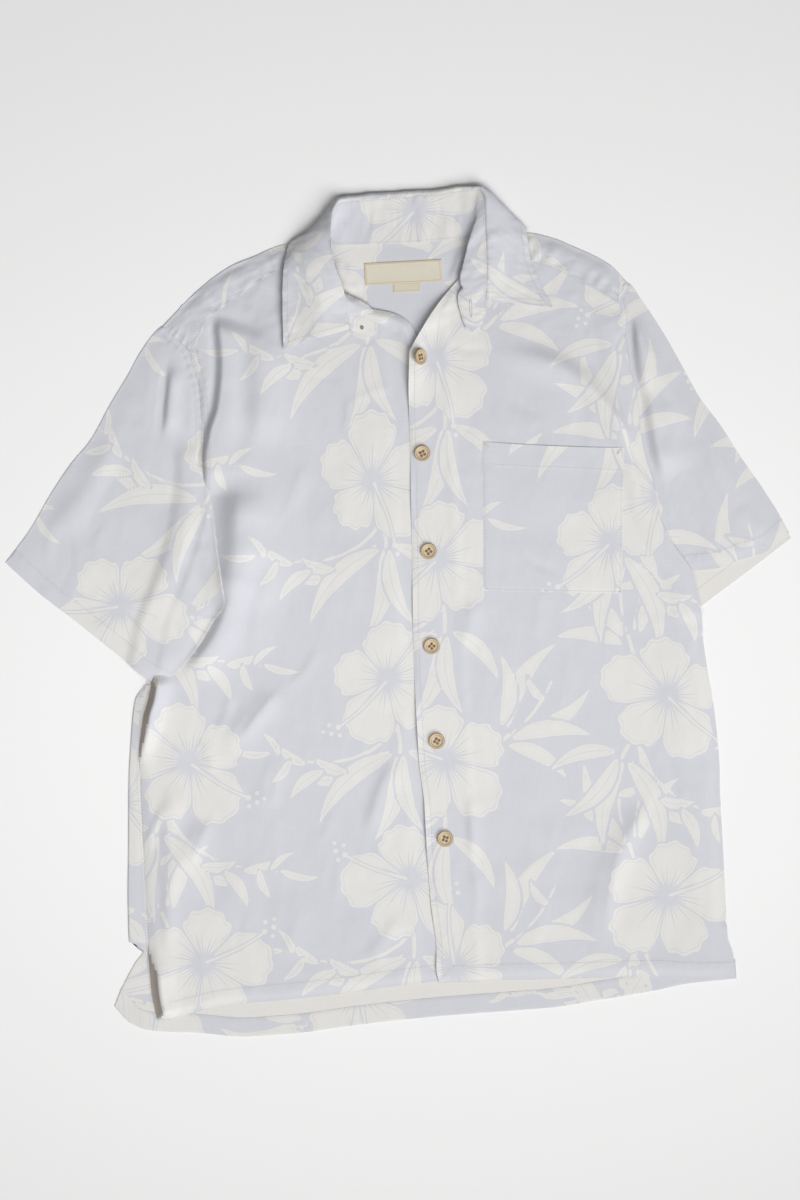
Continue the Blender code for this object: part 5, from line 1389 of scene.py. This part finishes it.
def sleeve_sewing(points, cuff, armhole, columns, body):
    """Sewing of a sleeve: the hem of its cuff, and its armhole dipped under the body's edge."""
    sewing = sewn_edges(points[..., 0], points[..., 1], [(HEM, cuff), (ARMHOLE, armhole)])
    hidden = np.ones(points.shape[1], bool)
    hidden[columns] = False
    kinds = sewing[:, hidden, 2]
    sewing[:, hidden, 2] = np.where(kinds == ARMHOLE, NO_SEWING, kinds)
    part = sewing[:, columns]
    upper = points[:, columns]
    upper[..., 2] += pucker(part)
    seam = (part[..., 2] == ARMHOLE) * (1.0 - smooth(part[..., 0] / 8.0))
    upper[..., 2] += seam * (body(upper[..., 0], upper[..., 1]) - 1.0 - upper[..., 2])
    settle(upper, 0.55 * (part[..., 2] == HEM), part[..., 0], 9.0)
    rough = rumple(upper[..., 0], upper[..., 1], 55.0, 83)
    upper[..., 2] += 0.16 * rough * smooth(part[..., 0] / 6)
    points[:, columns] = upper
    return sewing


def right_sleeve_cloth():
    """Wearer's right sleeve, whose underarm fold lies over the front."""
    tuck = [float(smooth((y - 160) / 25)) for _, y in RIGHT_ARMHOLE]
    armhole = [(x + 3.2 * t, y + 1.6 * t) for (x, y), t in zip(RIGHT_ARMHOLE, tuck)]
    grid = coons(armhole, RIGHT_CUFF, [armhole[0]] + RIGHT_SLEEVE_OUT, RIGHT_SLEEVE_IN,
                 np.linspace(0, 1, 116), np.linspace(0, 1, 84))

    def low(x, y):
        over = smooth((x - by_y(RIGHT_FRONT_SIDE, y) + 30) / 13) * smooth((176 - y) / 24)
        lobe = smooth((30 - y) / 20) * np.exp(-(nearest(x, y, RIGHT_SLEEVE_IN) / 9.0)**2)
        return over * (right_front_top(x, y) + 0.3 - 0.9 * lobe)

    def puff(x, y):
        eased = smooth(nearest(x, y, RIGHT_SLEEVE_IN) / 16)
        return sleeve_loft(x, y, RIGHT_SLEEVE_OUT, eased, RIGHT_ARMHOLE)

    points, flat, keep, columns = sleeve_tube(grid, low, puff, 0)
    sewing = sleeve_sewing(points, RIGHT_CUFF, armhole, columns, right_front_top)
    obj = lay_cloth("right_sleeve_cloth", points, flat, sewing, "sleeve_right",
                    up=(50, columns.start + 30), keep=keep, join=True,
                    thickness=0.35)
    return obj


def left_sleeve_cloth():
    """Wearer's left sleeve, tucked under the front; its lower layer shows past the cuff."""
    columns = np.linspace(0, 1, 74)
    armhole = [(x - 3.2, y + 1.0) for x, y in LEFT_ARMHOLE]
    body = coons(armhole, LEFT_CUFF_TOP, [armhole[0]] + LEFT_SLEEVE_OUT[:-1] + [(371, 53)],
                 [armhole[-1]] + LEFT_SLEEVE_IN[:-2] + [(264, 16)], np.linspace(0, 1, 110), columns)
    tail = coons(LEFT_CUFF_TOP, LEFT_CUFF, [(371, 53), (374, 49)],
                 [(264, 16), (268, -5), (272.6, -21)], np.linspace(0, 1, 15)[1:], columns)
    grid = np.concatenate([body, tail])

    def puff(x, y):
        eased = smooth((x - by_y(LEFT_FRONT_SIDE, y) - 2) / 12)
        return sleeve_loft(x, y, LEFT_SLEEVE_OUT, eased, LEFT_ARMHOLE[:4])

    points, flat, keep, upper = sleeve_tube(grid, lambda x, y: 0.0 * x, puff, 14)
    sewing = sleeve_sewing(points, LEFT_CUFF_TOP, armhole[:4], upper, left_front_top)
    lower = sewn_edges(points[..., 0], points[..., 1], [(HEM, LEFT_CUFF)])
    under = len(columns)
    sewing[:, :under] = lower[:, :under]
    obj = lay_cloth("left_sleeve_cloth", points, flat, sewing, "sleeve_left",
                    up=(50, upper.start + 30), keep=keep, join=True,
                    thickness=0.35)
    return obj


def edge_gathers(points, height, band=9.0):
    """Small uneven gathers near the long edges of a strip."""
    u, v = ways(points)
    span = v[:, -1:]
    near = np.minimum(v, span - v)
    ripple = np.sin(u / 1.9 + 1.5 * np.sin(u / 11.0)) + 0.6 * np.sin(u / 0.83 + 2.0)
    return points + normals(points) * (height * ripple * np.exp(-(near / band)**2))[..., None]


def stand_cloth():
    """Collar stand, from tab to tab round the neck."""
    points = ribbon(STAND, 250, 17)
    u, v = ways(points)
    points = edge_gathers(points, 0.12, 5.0)
    points = points + normals(points) * (0.8 * rumple(v, u, 0.0, 23))[..., None]
    sewing = np.zeros(points.shape)
    sewing[..., 0] = np.minimum(v, v[:, -1:] - v)
    sewing[..., 1] = u
    sewing[..., 2] = SEAM
    flat = np.stack([u, v], axis=-1)
    obj = lay_cloth("stand_cloth", points, flat, sewing, "collar_stand",
                    thickness=0.8, offset=0.0, reverse=False)
    return obj


def leaf_cloth():
    """Collar leaf, spread over both shoulders and folded under behind the neck."""
    crest = along([row[6:9] for row in STAND], 400)
    table = []
    for row in LEAF:
        start = np.array(row[:3])
        base = crest[np.argmin(np.linalg.norm(crest - start, axis=1))]
        table.append((base[0], base[1], base[2] - 0.35, *row))
    points = ribbon(table, 290, 40)
    u, v = ways(points)
    points = edge_gathers(points, 0.15, 7.0)
    crumple = 0.62 * rumple(v, u, 35.0, 7) + 0.36 * rumple(u, v, 10.0, 19)
    points = points + normals(points) * (crumple * smooth(v / 5.0))[..., None]
    swell = 0.5 * np.sin(u / 23.0 + v / 17.0) * np.sin(v / v[:, -1:] * math.pi)
    points = points + normals(points) * swell[..., None]
    points[..., 2] = np.maximum(points[..., 2], 0.46)
    ends = np.minimum(u, u[-1:] - u)
    free = np.minimum(ends, v[:, -1:] - v)
    fall = smooth((88 - u) / 10) + smooth((u - u[-1:] + 88) / 10)
    curl = 1.1 + 0.7 * np.sin(u / 14.0 + 0.8) * np.cos(v / 21.0)
    points[..., 2] += fall * curl * np.exp(-(free / 9.0)**2)
    points[..., 2] += 4.0 * smooth((100 - u) / 25) * smooth(v / 40)
    sewing = np.zeros(points.shape)
    sewing[..., 0] = np.minimum(ends, v[:, -1:] - v)
    sewing[..., 1] = np.where(ends < v[:, -1:] - v, v, u)
    sewing[..., 2] = EDGING
    flat = np.stack([u, v], axis=-1)
    obj = lay_cloth("leaf_cloth", points, flat, sewing, "collar_leaf",
                    thickness=0.9, offset=0.0, reverse=False)
    return obj


def pocket_cloth():
    """Breast pocket, a patch over the left front with a turned hem at its mouth."""
    a, b, c, d = [np.array(p, float) for p in POCKET]
    u = np.linspace(0, 1, 66)[None, :, None]
    v = np.linspace(0, 1, 68)[:, None, None]
    grid = (1 - v) * ((1 - u) * a + u * b) + v * ((1 - u) * d + u * c)
    bow = np.sin(math.pi * u[..., 0]) * (1 - v[..., 0])
    grid[..., 1] -= 1.2 * bow
    x, y = grid[..., 0], grid[..., 1]
    sewing = sewn_edges(x, y, [(SEAM, (a, d)), (SEAM, (d, c)), (SEAM, (c, b))])
    mouth = sewn_edges(x, y, [(HEM, (a, b))], 60.0)
    below = mouth[..., 0] - 21   # how far below the stitching of the mouth's hem
    z = left_front_top(x, y) + 0.42 + 0.6 * pucker(sewing)
    z = z + 0.2 * (1 - smooth(below / 1.6)) + 0.45 * np.exp(-(mouth[..., 0] / 5.0)**2) * bow
    z = z + 0.10 * np.sin(x / 2.1 + np.sin(x / 7.0)) * np.exp(-(below / 3.0)**2)
    points = settle(np.dstack([x, y, z]), 0.32, sewing[..., 0], 3.6)
    band = (mouth[..., 0] < sewing[..., 0]) | ((mouth[..., 0] > 10) & (mouth[..., 0] < 26))
    sewing[band] = mouth[band] - np.array([6.0, 0.0, 0.0])
    sewing[..., 0] = np.maximum(sewing[..., 0], 0.0)
    obj = lay_cloth("pocket_cloth", points, grid, sewing, "pocket")
    return obj


def label_cloth(name, spec, node, finish, lift, sag, tucked=0.0):
    """Small bare woven patch lying on the yoke, its edges dipped a little towards it."""
    cx, cy, width, height, turn = spec
    if tucked:
        cy, height = cy + 0.5 * tucked, height + tucked
    u = np.linspace(-0.5, 0.5, 61)[None, :] * width + np.zeros((25, 1))
    v = np.linspace(-0.5, 0.5, 25)[:, None] * height + np.zeros((1, 61))
    angle = math.radians(turn)
    x = cx + u * math.cos(angle) - v * math.sin(angle)
    y = cy + u * math.sin(angle) + v * math.cos(angle)
    rim = np.minimum(0.5 * width - np.abs(u), 0.5 * height - np.abs(v))
    z = neck_lift(x, y) + lift + sag * np.sin(u / 9.0 + 0.6) * np.sin(v / 5.0 + 1.0)
    z = z - 0.2 * (1 - smooth(rim / 0.8))
    mesh = grid_mesh(name, np.dstack([x, y, z]), {"cut": np.dstack([u, v, rim])})
    mesh.materials.append(material(finish))
    obj = dressed(name, mesh, node)
    thicken(obj, 0.45 * MM)
    return obj


def button_blank(settings):
    """Turned four-hole button about the origin, its face up."""
    radius, height = settings.radius / MM, settings.height / MM
    profile = [(0.0, 0.15), (radius - 1.6, 0.15), (radius - 0.5, 0.7), (radius - 0.08, 1.5),
               (radius, 2.05), (radius - 0.25, height - 0.15), (radius - 0.75, height),
               (radius - 1.5, height - 0.08), (radius - 2.05, height - 0.55),
               (radius - 2.7, height - 0.78), (0.0, height - 0.72)]
    bm = bmesh.new()
    verts = [bm.verts.new((r * MM, 0.0, z * MM)) for r, z in profile]
    edges = [bm.edges.new(pair) for pair in zip(verts[:-1], verts[1:])]
    bmesh.ops.spin(bm, geom=verts + edges, angle=math.tau, steps=56, axis=(0, 0, 1),
                   cent=(0, 0, 0), use_merge=True)
    bmesh.ops.remove_doubles(bm, verts=bm.verts, dist=1e-6)
    bmesh.ops.recalc_face_normals(bm, faces=bm.faces)
    body = placed("button_blank", mesh_of(bm, "button_blank"))
    bm = bmesh.new()
    for sx in (-1, 1):
        for sy in (-1, 1):
            spot = Matrix.Translation(Vector((sx * HOLE_OUT, sy * HOLE_OUT, 1.0)) * MM)
            bmesh.ops.create_cone(bm, cap_ends=True, segments=16, radius1=HOLE_RADIUS * MM,
                                  radius2=HOLE_RADIUS * MM, depth=9 * MM, matrix=spot)
    cutter = placed("button_drill", mesh_of(bm, "button_drill"))
    cut = body.modifiers.new("holes", "BOOLEAN")
    cut.operation = "DIFFERENCE"
    cut.solver = "EXACT"
    cut.object = cutter
    mesh = evaluated(body)
    bpy.data.objects.remove(cutter)
    bm = bmesh.new()
    bm.from_mesh(mesh)
    sharp = [e for e in bm.edges if len(e.link_faces) == 2 and e.calc_face_angle(0) > CORNER]
    bmesh.ops.bevel(bm, geom=sharp, offset=0.12 * MM, segments=2, profile=0.5, affect="EDGES",
                    material=-1, clamp_overlap=True)
    for angle in (45, 135):
        for side in (-0.32, 0.32):
            strand = button_strand(angle, side, height)
            bm.from_mesh(strand)
            bpy.data.meshes.remove(strand)
    bm.to_mesh(mesh)
    bm.free()
    mesh.name = "button_turned"
    return mesh


def button_strand(angle, side, height):
    """One stitch that arches from hole to hole across a button."""
    bm = bmesh.new()
    ring = bmesh.ops.create_circle(bm, segments=8, radius=0.3 * MM)["verts"]
    bmesh.ops.translate(bm, verts=ring, vec=(2.26 * MM, 0, 0))
    bmesh.ops.spin(bm, geom=bm.verts[:] + bm.edges[:], angle=math.pi, steps=14, axis=(0, -1, 0),
                   cent=(0, 0, 0))
    bmesh.ops.scale(bm, verts=bm.verts, vec=(1, 1, 0.30))
    turn = Matrix.Rotation(math.radians(angle), 4, "Z")
    lift = Matrix.Translation((0, side * MM, (height - 0.85) * MM))
    bmesh.ops.transform(bm, matrix=turn @ lift, verts=bm.verts)
    bmesh.ops.recalc_face_normals(bm, faces=bm.faces)
    for f in bm.faces:
        f.material_index = 1
    return mesh_of(bm, "button_strand")


def sew_button(index, x, y, blank):
    """One button on the cloth of the left front, tilted as the cloth lies."""
    turn = np.linspace(0, math.tau, 24, endpoint=False)
    rings = (2.5, 5.0, 7.6)
    dx = np.concatenate([r * np.cos(turn) for r in rings])
    dy = np.concatenate([r * np.sin(turn) for r in rings])
    top = left_front_top(x + dx, y + dy)
    plane = np.linalg.lstsq(np.column_stack([dx, dy, dx * 0 + 1]), top, None)[0]
    lift = float((top - plane[0] * dx - plane[1] * dy).max()) + 0.25
    mesh = blank.copy()
    mesh.name = f"sewn_button_{index}"
    places = np.zeros(len(mesh.vertices) * 3, np.float32)
    mesh.vertices.foreach_get("co", places)
    carry(mesh, "turned", places.reshape(-1, 3) / MM + np.array([0.0, 0.0, 13.0 * index]))
    tilt = Vector((0, 0, 1)).rotation_difference(Vector((-plane[0], -plane[1], 1.0)))
    pulled = TOP_BUTTON_TILT if index == 1 else 0.0
    spot = Matrix.Translation(Vector((x, y, lift + TOP_BUTTON_ARM * math.sin(pulled))) * MM)
    spot = spot @ tilt.to_matrix().to_4x4() @ Matrix.Rotation(pulled, 4, "Y")
    mesh.transform(spot @ Matrix.Rotation(0.2 * index, 4, "Z"))
    mesh.materials.clear()
    mesh.materials.append(material("waxed_wood"))
    mesh.materials.append(material("brown_thread"))
    mesh.shade_smooth()
    mesh.set_sharp_from_angle(angle=CORNER)
    return dressed(f"sewn_button_{index}", mesh, f"button_{index}")


def threads(name, paths, radius, finish, closed=False):
    """Piece of thin thread along paths given in millimetres."""
    curve = bpy.data.curves.new(name, "CURVE")
    curve.dimensions = "3D"
    curve.bevel_depth = radius * MM
    curve.bevel_resolution = 2
    curve.use_fill_caps = True
    for path in paths:
        line = curve.splines.new("POLY")
        line.points.add(len(path) - 1)
        for point, place in zip(line.points, path):
            point.co = (*[c * MM for c in place], 1.0)
        line.use_cyclic_u = closed
    mesh = evaluated(placed(name + "_line", curve))
    mesh.name = name
    mesh.materials.clear()
    mesh.materials.append(material(finish))
    mesh.shade_smooth()
    return dressed(name, mesh, None)


def on_piece(name, x, y):
    """Height of a finished piece's upper face at a place."""
    obj = bpy.data.objects[name]
    bpy.context.view_layer.update()
    hit, spot, _, _ = obj.ray_cast(Vector((x * MM, y * MM, 0.2)), Vector((0, 0, -1)))
    if not hit:
        raise RuntimeError(f"{name} doesn't reach {x}, {y}")
    return spot.z / MM


def sew_details():
    """Buttonhole of the left tab, thread knot of the right tab and the pocket's two tacks."""
    middle_x, middle_y, half_width, half_length = BUTTONHOLE
    loop = []
    for t in np.linspace(0, math.tau, 40, endpoint=False):
        x = middle_x + half_width * math.cos(t)
        y = middle_y + half_length * math.copysign(abs(math.sin(t))**0.55, math.sin(t))
        loop.append((x, y, on_piece("stand_cloth", x, y) + 0.12))
    threads("buttonhole", [loop], 0.42, "pale_thread", True)
    knot = []
    for i, t in enumerate(np.linspace(0, 5 * math.tau, 70)):
        size = 1.1 + 0.35 * math.sin(2.3 * t)
        x, y = KNOT[0] + size * math.cos(t), KNOT[1] + 1.2 * size * math.sin(t)
        knot.append((x, y, on_piece("stand_cloth", x, y) + 0.35 + 0.5 * math.sin(0.7 * t + i) ** 2))
    threads("thread_knot", [knot], 0.24, "brown_thread")
    bars = []
    (ax, ay), (bx, by) = POCKET[:2]
    for x, y, slant in ((ax + 3.0, ay - 4.0, -1), (bx - 5.2, by - 3.4, 1)):
        for k in range(5):
            bar = []
            for t in np.linspace(-1, 1, 7):
                px, py = x + slant * 1.8 * t + 0.42 * k, y + 2.6 * t
                bar.append((px, py, on_piece("pocket_cloth", px, py) + 0.22 - 0.2 * t * t))
            bars.append(bar)
    threads("pocket_tacks", bars, 0.22, "pale_thread")


# ---- settings and operators ----------------------------------------------------------------------

class ShirtCloth(bpy.types.PropertyGroup):
    """Cloth of the shirt."""
    thickness: bpy.props.FloatProperty(
        name="Thickness", description="Thickness of one layer of cloth", default=0.0006,
        min=0.0002, max=0.001, precision=5, unit="LENGTH")
    ground: bpy.props.FloatVectorProperty(
        name="Ground", description="Colour of the cloth between the flowers", size=3,
        default=(0.608, 0.614, 0.655), min=0.0, max=1.0, subtype="COLOR")
    motif: bpy.props.FloatVectorProperty(
        name="Flowers", description="Colour of the flowers and leaves", size=3,
        default=(0.720, 0.711, 0.684), min=0.0, max=1.0, subtype="COLOR")
    reverse: bpy.props.FloatVectorProperty(
        name="Reverse", description="Colour of the cloth's reverse", size=3,
        default=(0.720, 0.700, 0.670), min=0.0, max=1.0, subtype="COLOR")


class ShirtButtons(bpy.types.PropertyGroup):
    """Buttons of the shirt."""
    radius: bpy.props.FloatProperty(
        name="Radius", description="Radius of a button", default=0.0076, min=0.005, max=0.012,
        precision=5, unit="LENGTH")
    height: bpy.props.FloatProperty(
        name="Height", description="Height of a button's rim", default=0.0028, min=0.002,
        max=0.005, precision=5, unit="LENGTH")
    wood: bpy.props.FloatVectorProperty(
        name="Wood", description="Colour of the turned wood", size=3,
        default=(0.66, 0.53, 0.35), min=0.0, max=1.0, subtype="COLOR")


class ShirtStage(bpy.types.PropertyGroup):
    """Floor, light and camera."""
    lens: bpy.props.FloatProperty(
        name="Lens", description="Focal length of the camera", default=0.085, min=0.02, max=0.3,
        unit="CAMERA")
    view: bpy.props.FloatProperty(
        name="View height", description="Height of the floor that the camera takes in",
        default=1.14, min=0.5, max=3.0, unit="LENGTH")
    floor: bpy.props.FloatVectorProperty(
        name="Floor", description="Colour of the floor", size=3, default=(0.845, 0.846, 0.842),
        min=0.0, max=1.0, subtype="COLOR")


class SHIRT_OT_lay_back(bpy.types.Operator):
    """Lay the back flat"""
    bl_idname = "shirt.lay_back"
    bl_label = "Lay the back"

    def execute(self, context):
        back_cloth()
        return {"FINISHED"}


class SHIRT_OT_lay_yoke(bpy.types.Operator):
    """Lay the yoke over both shoulders"""
    bl_idname = "shirt.lay_yoke"
    bl_label = "Lay the yoke"

    def execute(self, context):
        yoke_cloth()
        return {"FINISHED"}


class SHIRT_OT_lay_fronts(bpy.types.Operator):
    """Lay the two fronts, the left over the right"""
    bl_idname = "shirt.lay_fronts"
    bl_label = "Lay the fronts"

    def execute(self, context):
        right_front_cloth()
        left_front_cloth()
        return {"FINISHED"}


class SHIRT_OT_lay_sleeves(bpy.types.Operator):
    """Lay the two sleeves"""
    bl_idname = "shirt.lay_sleeves"
    bl_label = "Lay the sleeves"

    def execute(self, context):
        right_sleeve_cloth()
        left_sleeve_cloth()
        return {"FINISHED"}


class SHIRT_OT_fold_collar(bpy.types.Operator):
    """Fold the collar's stand and leaf"""
    bl_idname = "shirt.fold_collar"
    bl_label = "Fold the collar"

    def execute(self, context):
        stand_cloth()
        leaf_cloth()
        return {"FINISHED"}


class SHIRT_OT_sew_pocket(bpy.types.Operator):
    """Sew the breast pocket on"""
    bl_idname = "shirt.sew_pocket"
    bl_label = "Sew the pocket"

    def execute(self, context):
        pocket_cloth()
        return {"FINISHED"}


class SHIRT_OT_sew_labels(bpy.types.Operator):
    """Sew the bare neck label and size tag in"""
    bl_idname = "shirt.sew_labels"
    bl_label = "Sew the labels"

    def execute(self, context):
        label_cloth("neck_label", LABEL, "label", "label_satin", 1.35, 0.12)
        label_cloth("size_label", SIZE_TAG, "size_tag", "tag_satin", 0.95, 0.05, 2.6)
        return {"FINISHED"}


class SHIRT_OT_sew_buttons(bpy.types.Operator):
    """Turn, drill and sew on the six buttons"""
    bl_idname = "shirt.sew_buttons"
    bl_label = "Sew the buttons"

    def execute(self, context):
        blank = button_blank(context.scene.shirt_buttons)
        for index, (x, y) in enumerate(BUTTONS, start=1):
            sew_button(index, x, y, blank)
        return {"FINISHED"}


class SHIRT_OT_sew_details(bpy.types.Operator):
    """Sew the buttonhole, the knot and the pocket's tacks"""
    bl_idname = "shirt.sew_details"
    bl_label = "Sew the details"

    def execute(self, context):
        sew_details()
        return {"FINISHED"}


class SHIRT_OT_set_stage(bpy.types.Operator):
    """Set the floor, the soft light and the camera"""
    bl_idname = "shirt.set_stage"
    bl_label = "Set the stage"

    def execute(self, context):
        stage = context.scene.shirt_stage
        bm = bmesh.new()
        bmesh.ops.create_grid(bm, x_segments=2, y_segments=2, size=5.0)
        bmesh.ops.translate(bm, verts=bm.verts, vec=(0, 0, -0.0001))
        mesh = mesh_of(bm, "floor")
        mesh.materials.append(material("pale_floor"))
        placed("floor", mesh)
        sun = bpy.data.lights.new("key_light", "SUN")
        sun.energy = SUN_STRENGTH
        sun.angle = math.radians(SUN_SPREAD)
        key = placed("key_light", sun)
        key.rotation_euler = Vector(SUN_FROM).to_track_quat("Z", "Y").to_euler()
        lamp = bpy.data.lights.new("top_light", "AREA")
        lamp.shape = "RECTANGLE"
        lamp.size, lamp.size_y = LAMP_SIZE
        lamp.energy = LAMP_STRENGTH
        placed("top_light", lamp).location = LAMP_AT
        world = bpy.data.worlds.new("studio")
        world.use_nodes = True
        sky = world.node_tree.nodes["Background"].inputs
        sky["Color"].default_value = (1.0, 1.0, 1.0, 1.0)
        sky["Strength"].default_value = SKY_STRENGTH
        context.scene.world = world
        lens = bpy.data.cameras.new("camera")
        lens.lens = stage.lens / MM
        lens.sensor_width = SENSOR / MM
        lens.clip_end = 50.0
        camera = placed("camera", lens)
        camera.location = (*CAMERA_AT, stage.view * stage.lens / SENSOR)
        camera.rotation_euler = (0.0, 0.0, math.radians(CAMERA_TURN))
        context.scene.camera = camera
        context.scene.view_settings.view_transform = "Standard"
        return {"FINISHED"}


class SHIRT_PT_panel(bpy.types.Panel):
    """Shirt"""
    bl_idname = "SHIRT_PT_panel"
    bl_label = "Shirt"
    bl_space_type = "VIEW_3D"
    bl_region_type = "UI"
    bl_category = "Shirt"

    def draw(self, context):
        layout = self.layout
        for group in ("shirt_cloth", "shirt_buttons", "shirt_stage"):
            settings = getattr(context.scene, group)
            for key in settings.__annotations__:
                layout.prop(settings, key)
        for step in STEPS:
            layout.operator(step.bl_idname)


STEPS = (SHIRT_OT_set_stage, SHIRT_OT_lay_back, SHIRT_OT_lay_yoke, SHIRT_OT_lay_fronts,
         SHIRT_OT_lay_sleeves, SHIRT_OT_fold_collar, SHIRT_OT_sew_pocket, SHIRT_OT_sew_labels,
         SHIRT_OT_sew_buttons, SHIRT_OT_sew_details)
GROUPS = (("shirt_cloth", ShirtCloth), ("shirt_buttons", ShirtButtons),
          ("shirt_stage", ShirtStage))


def register():
    for name, group in GROUPS:
        bpy.utils.register_class(group)
        setattr(bpy.types.Scene, name, bpy.props.PointerProperty(type=group))
    for step in STEPS:
        bpy.utils.register_class(step)
    bpy.utils.register_class(SHIRT_PT_panel)


def unregister():
    bpy.utils.unregister_class(SHIRT_PT_panel)
    for step in reversed(STEPS):
        bpy.utils.unregister_class(step)
    for name, group in reversed(GROUPS):
        delattr(bpy.types.Scene, name)
        bpy.utils.unregister_class(group)


def main():
    register()
    for step in STEPS:
        group, call = step.bl_idname.split(".")
        getattr(getattr(bpy.ops, group), call)()


if __name__ == "__main__":
    main()
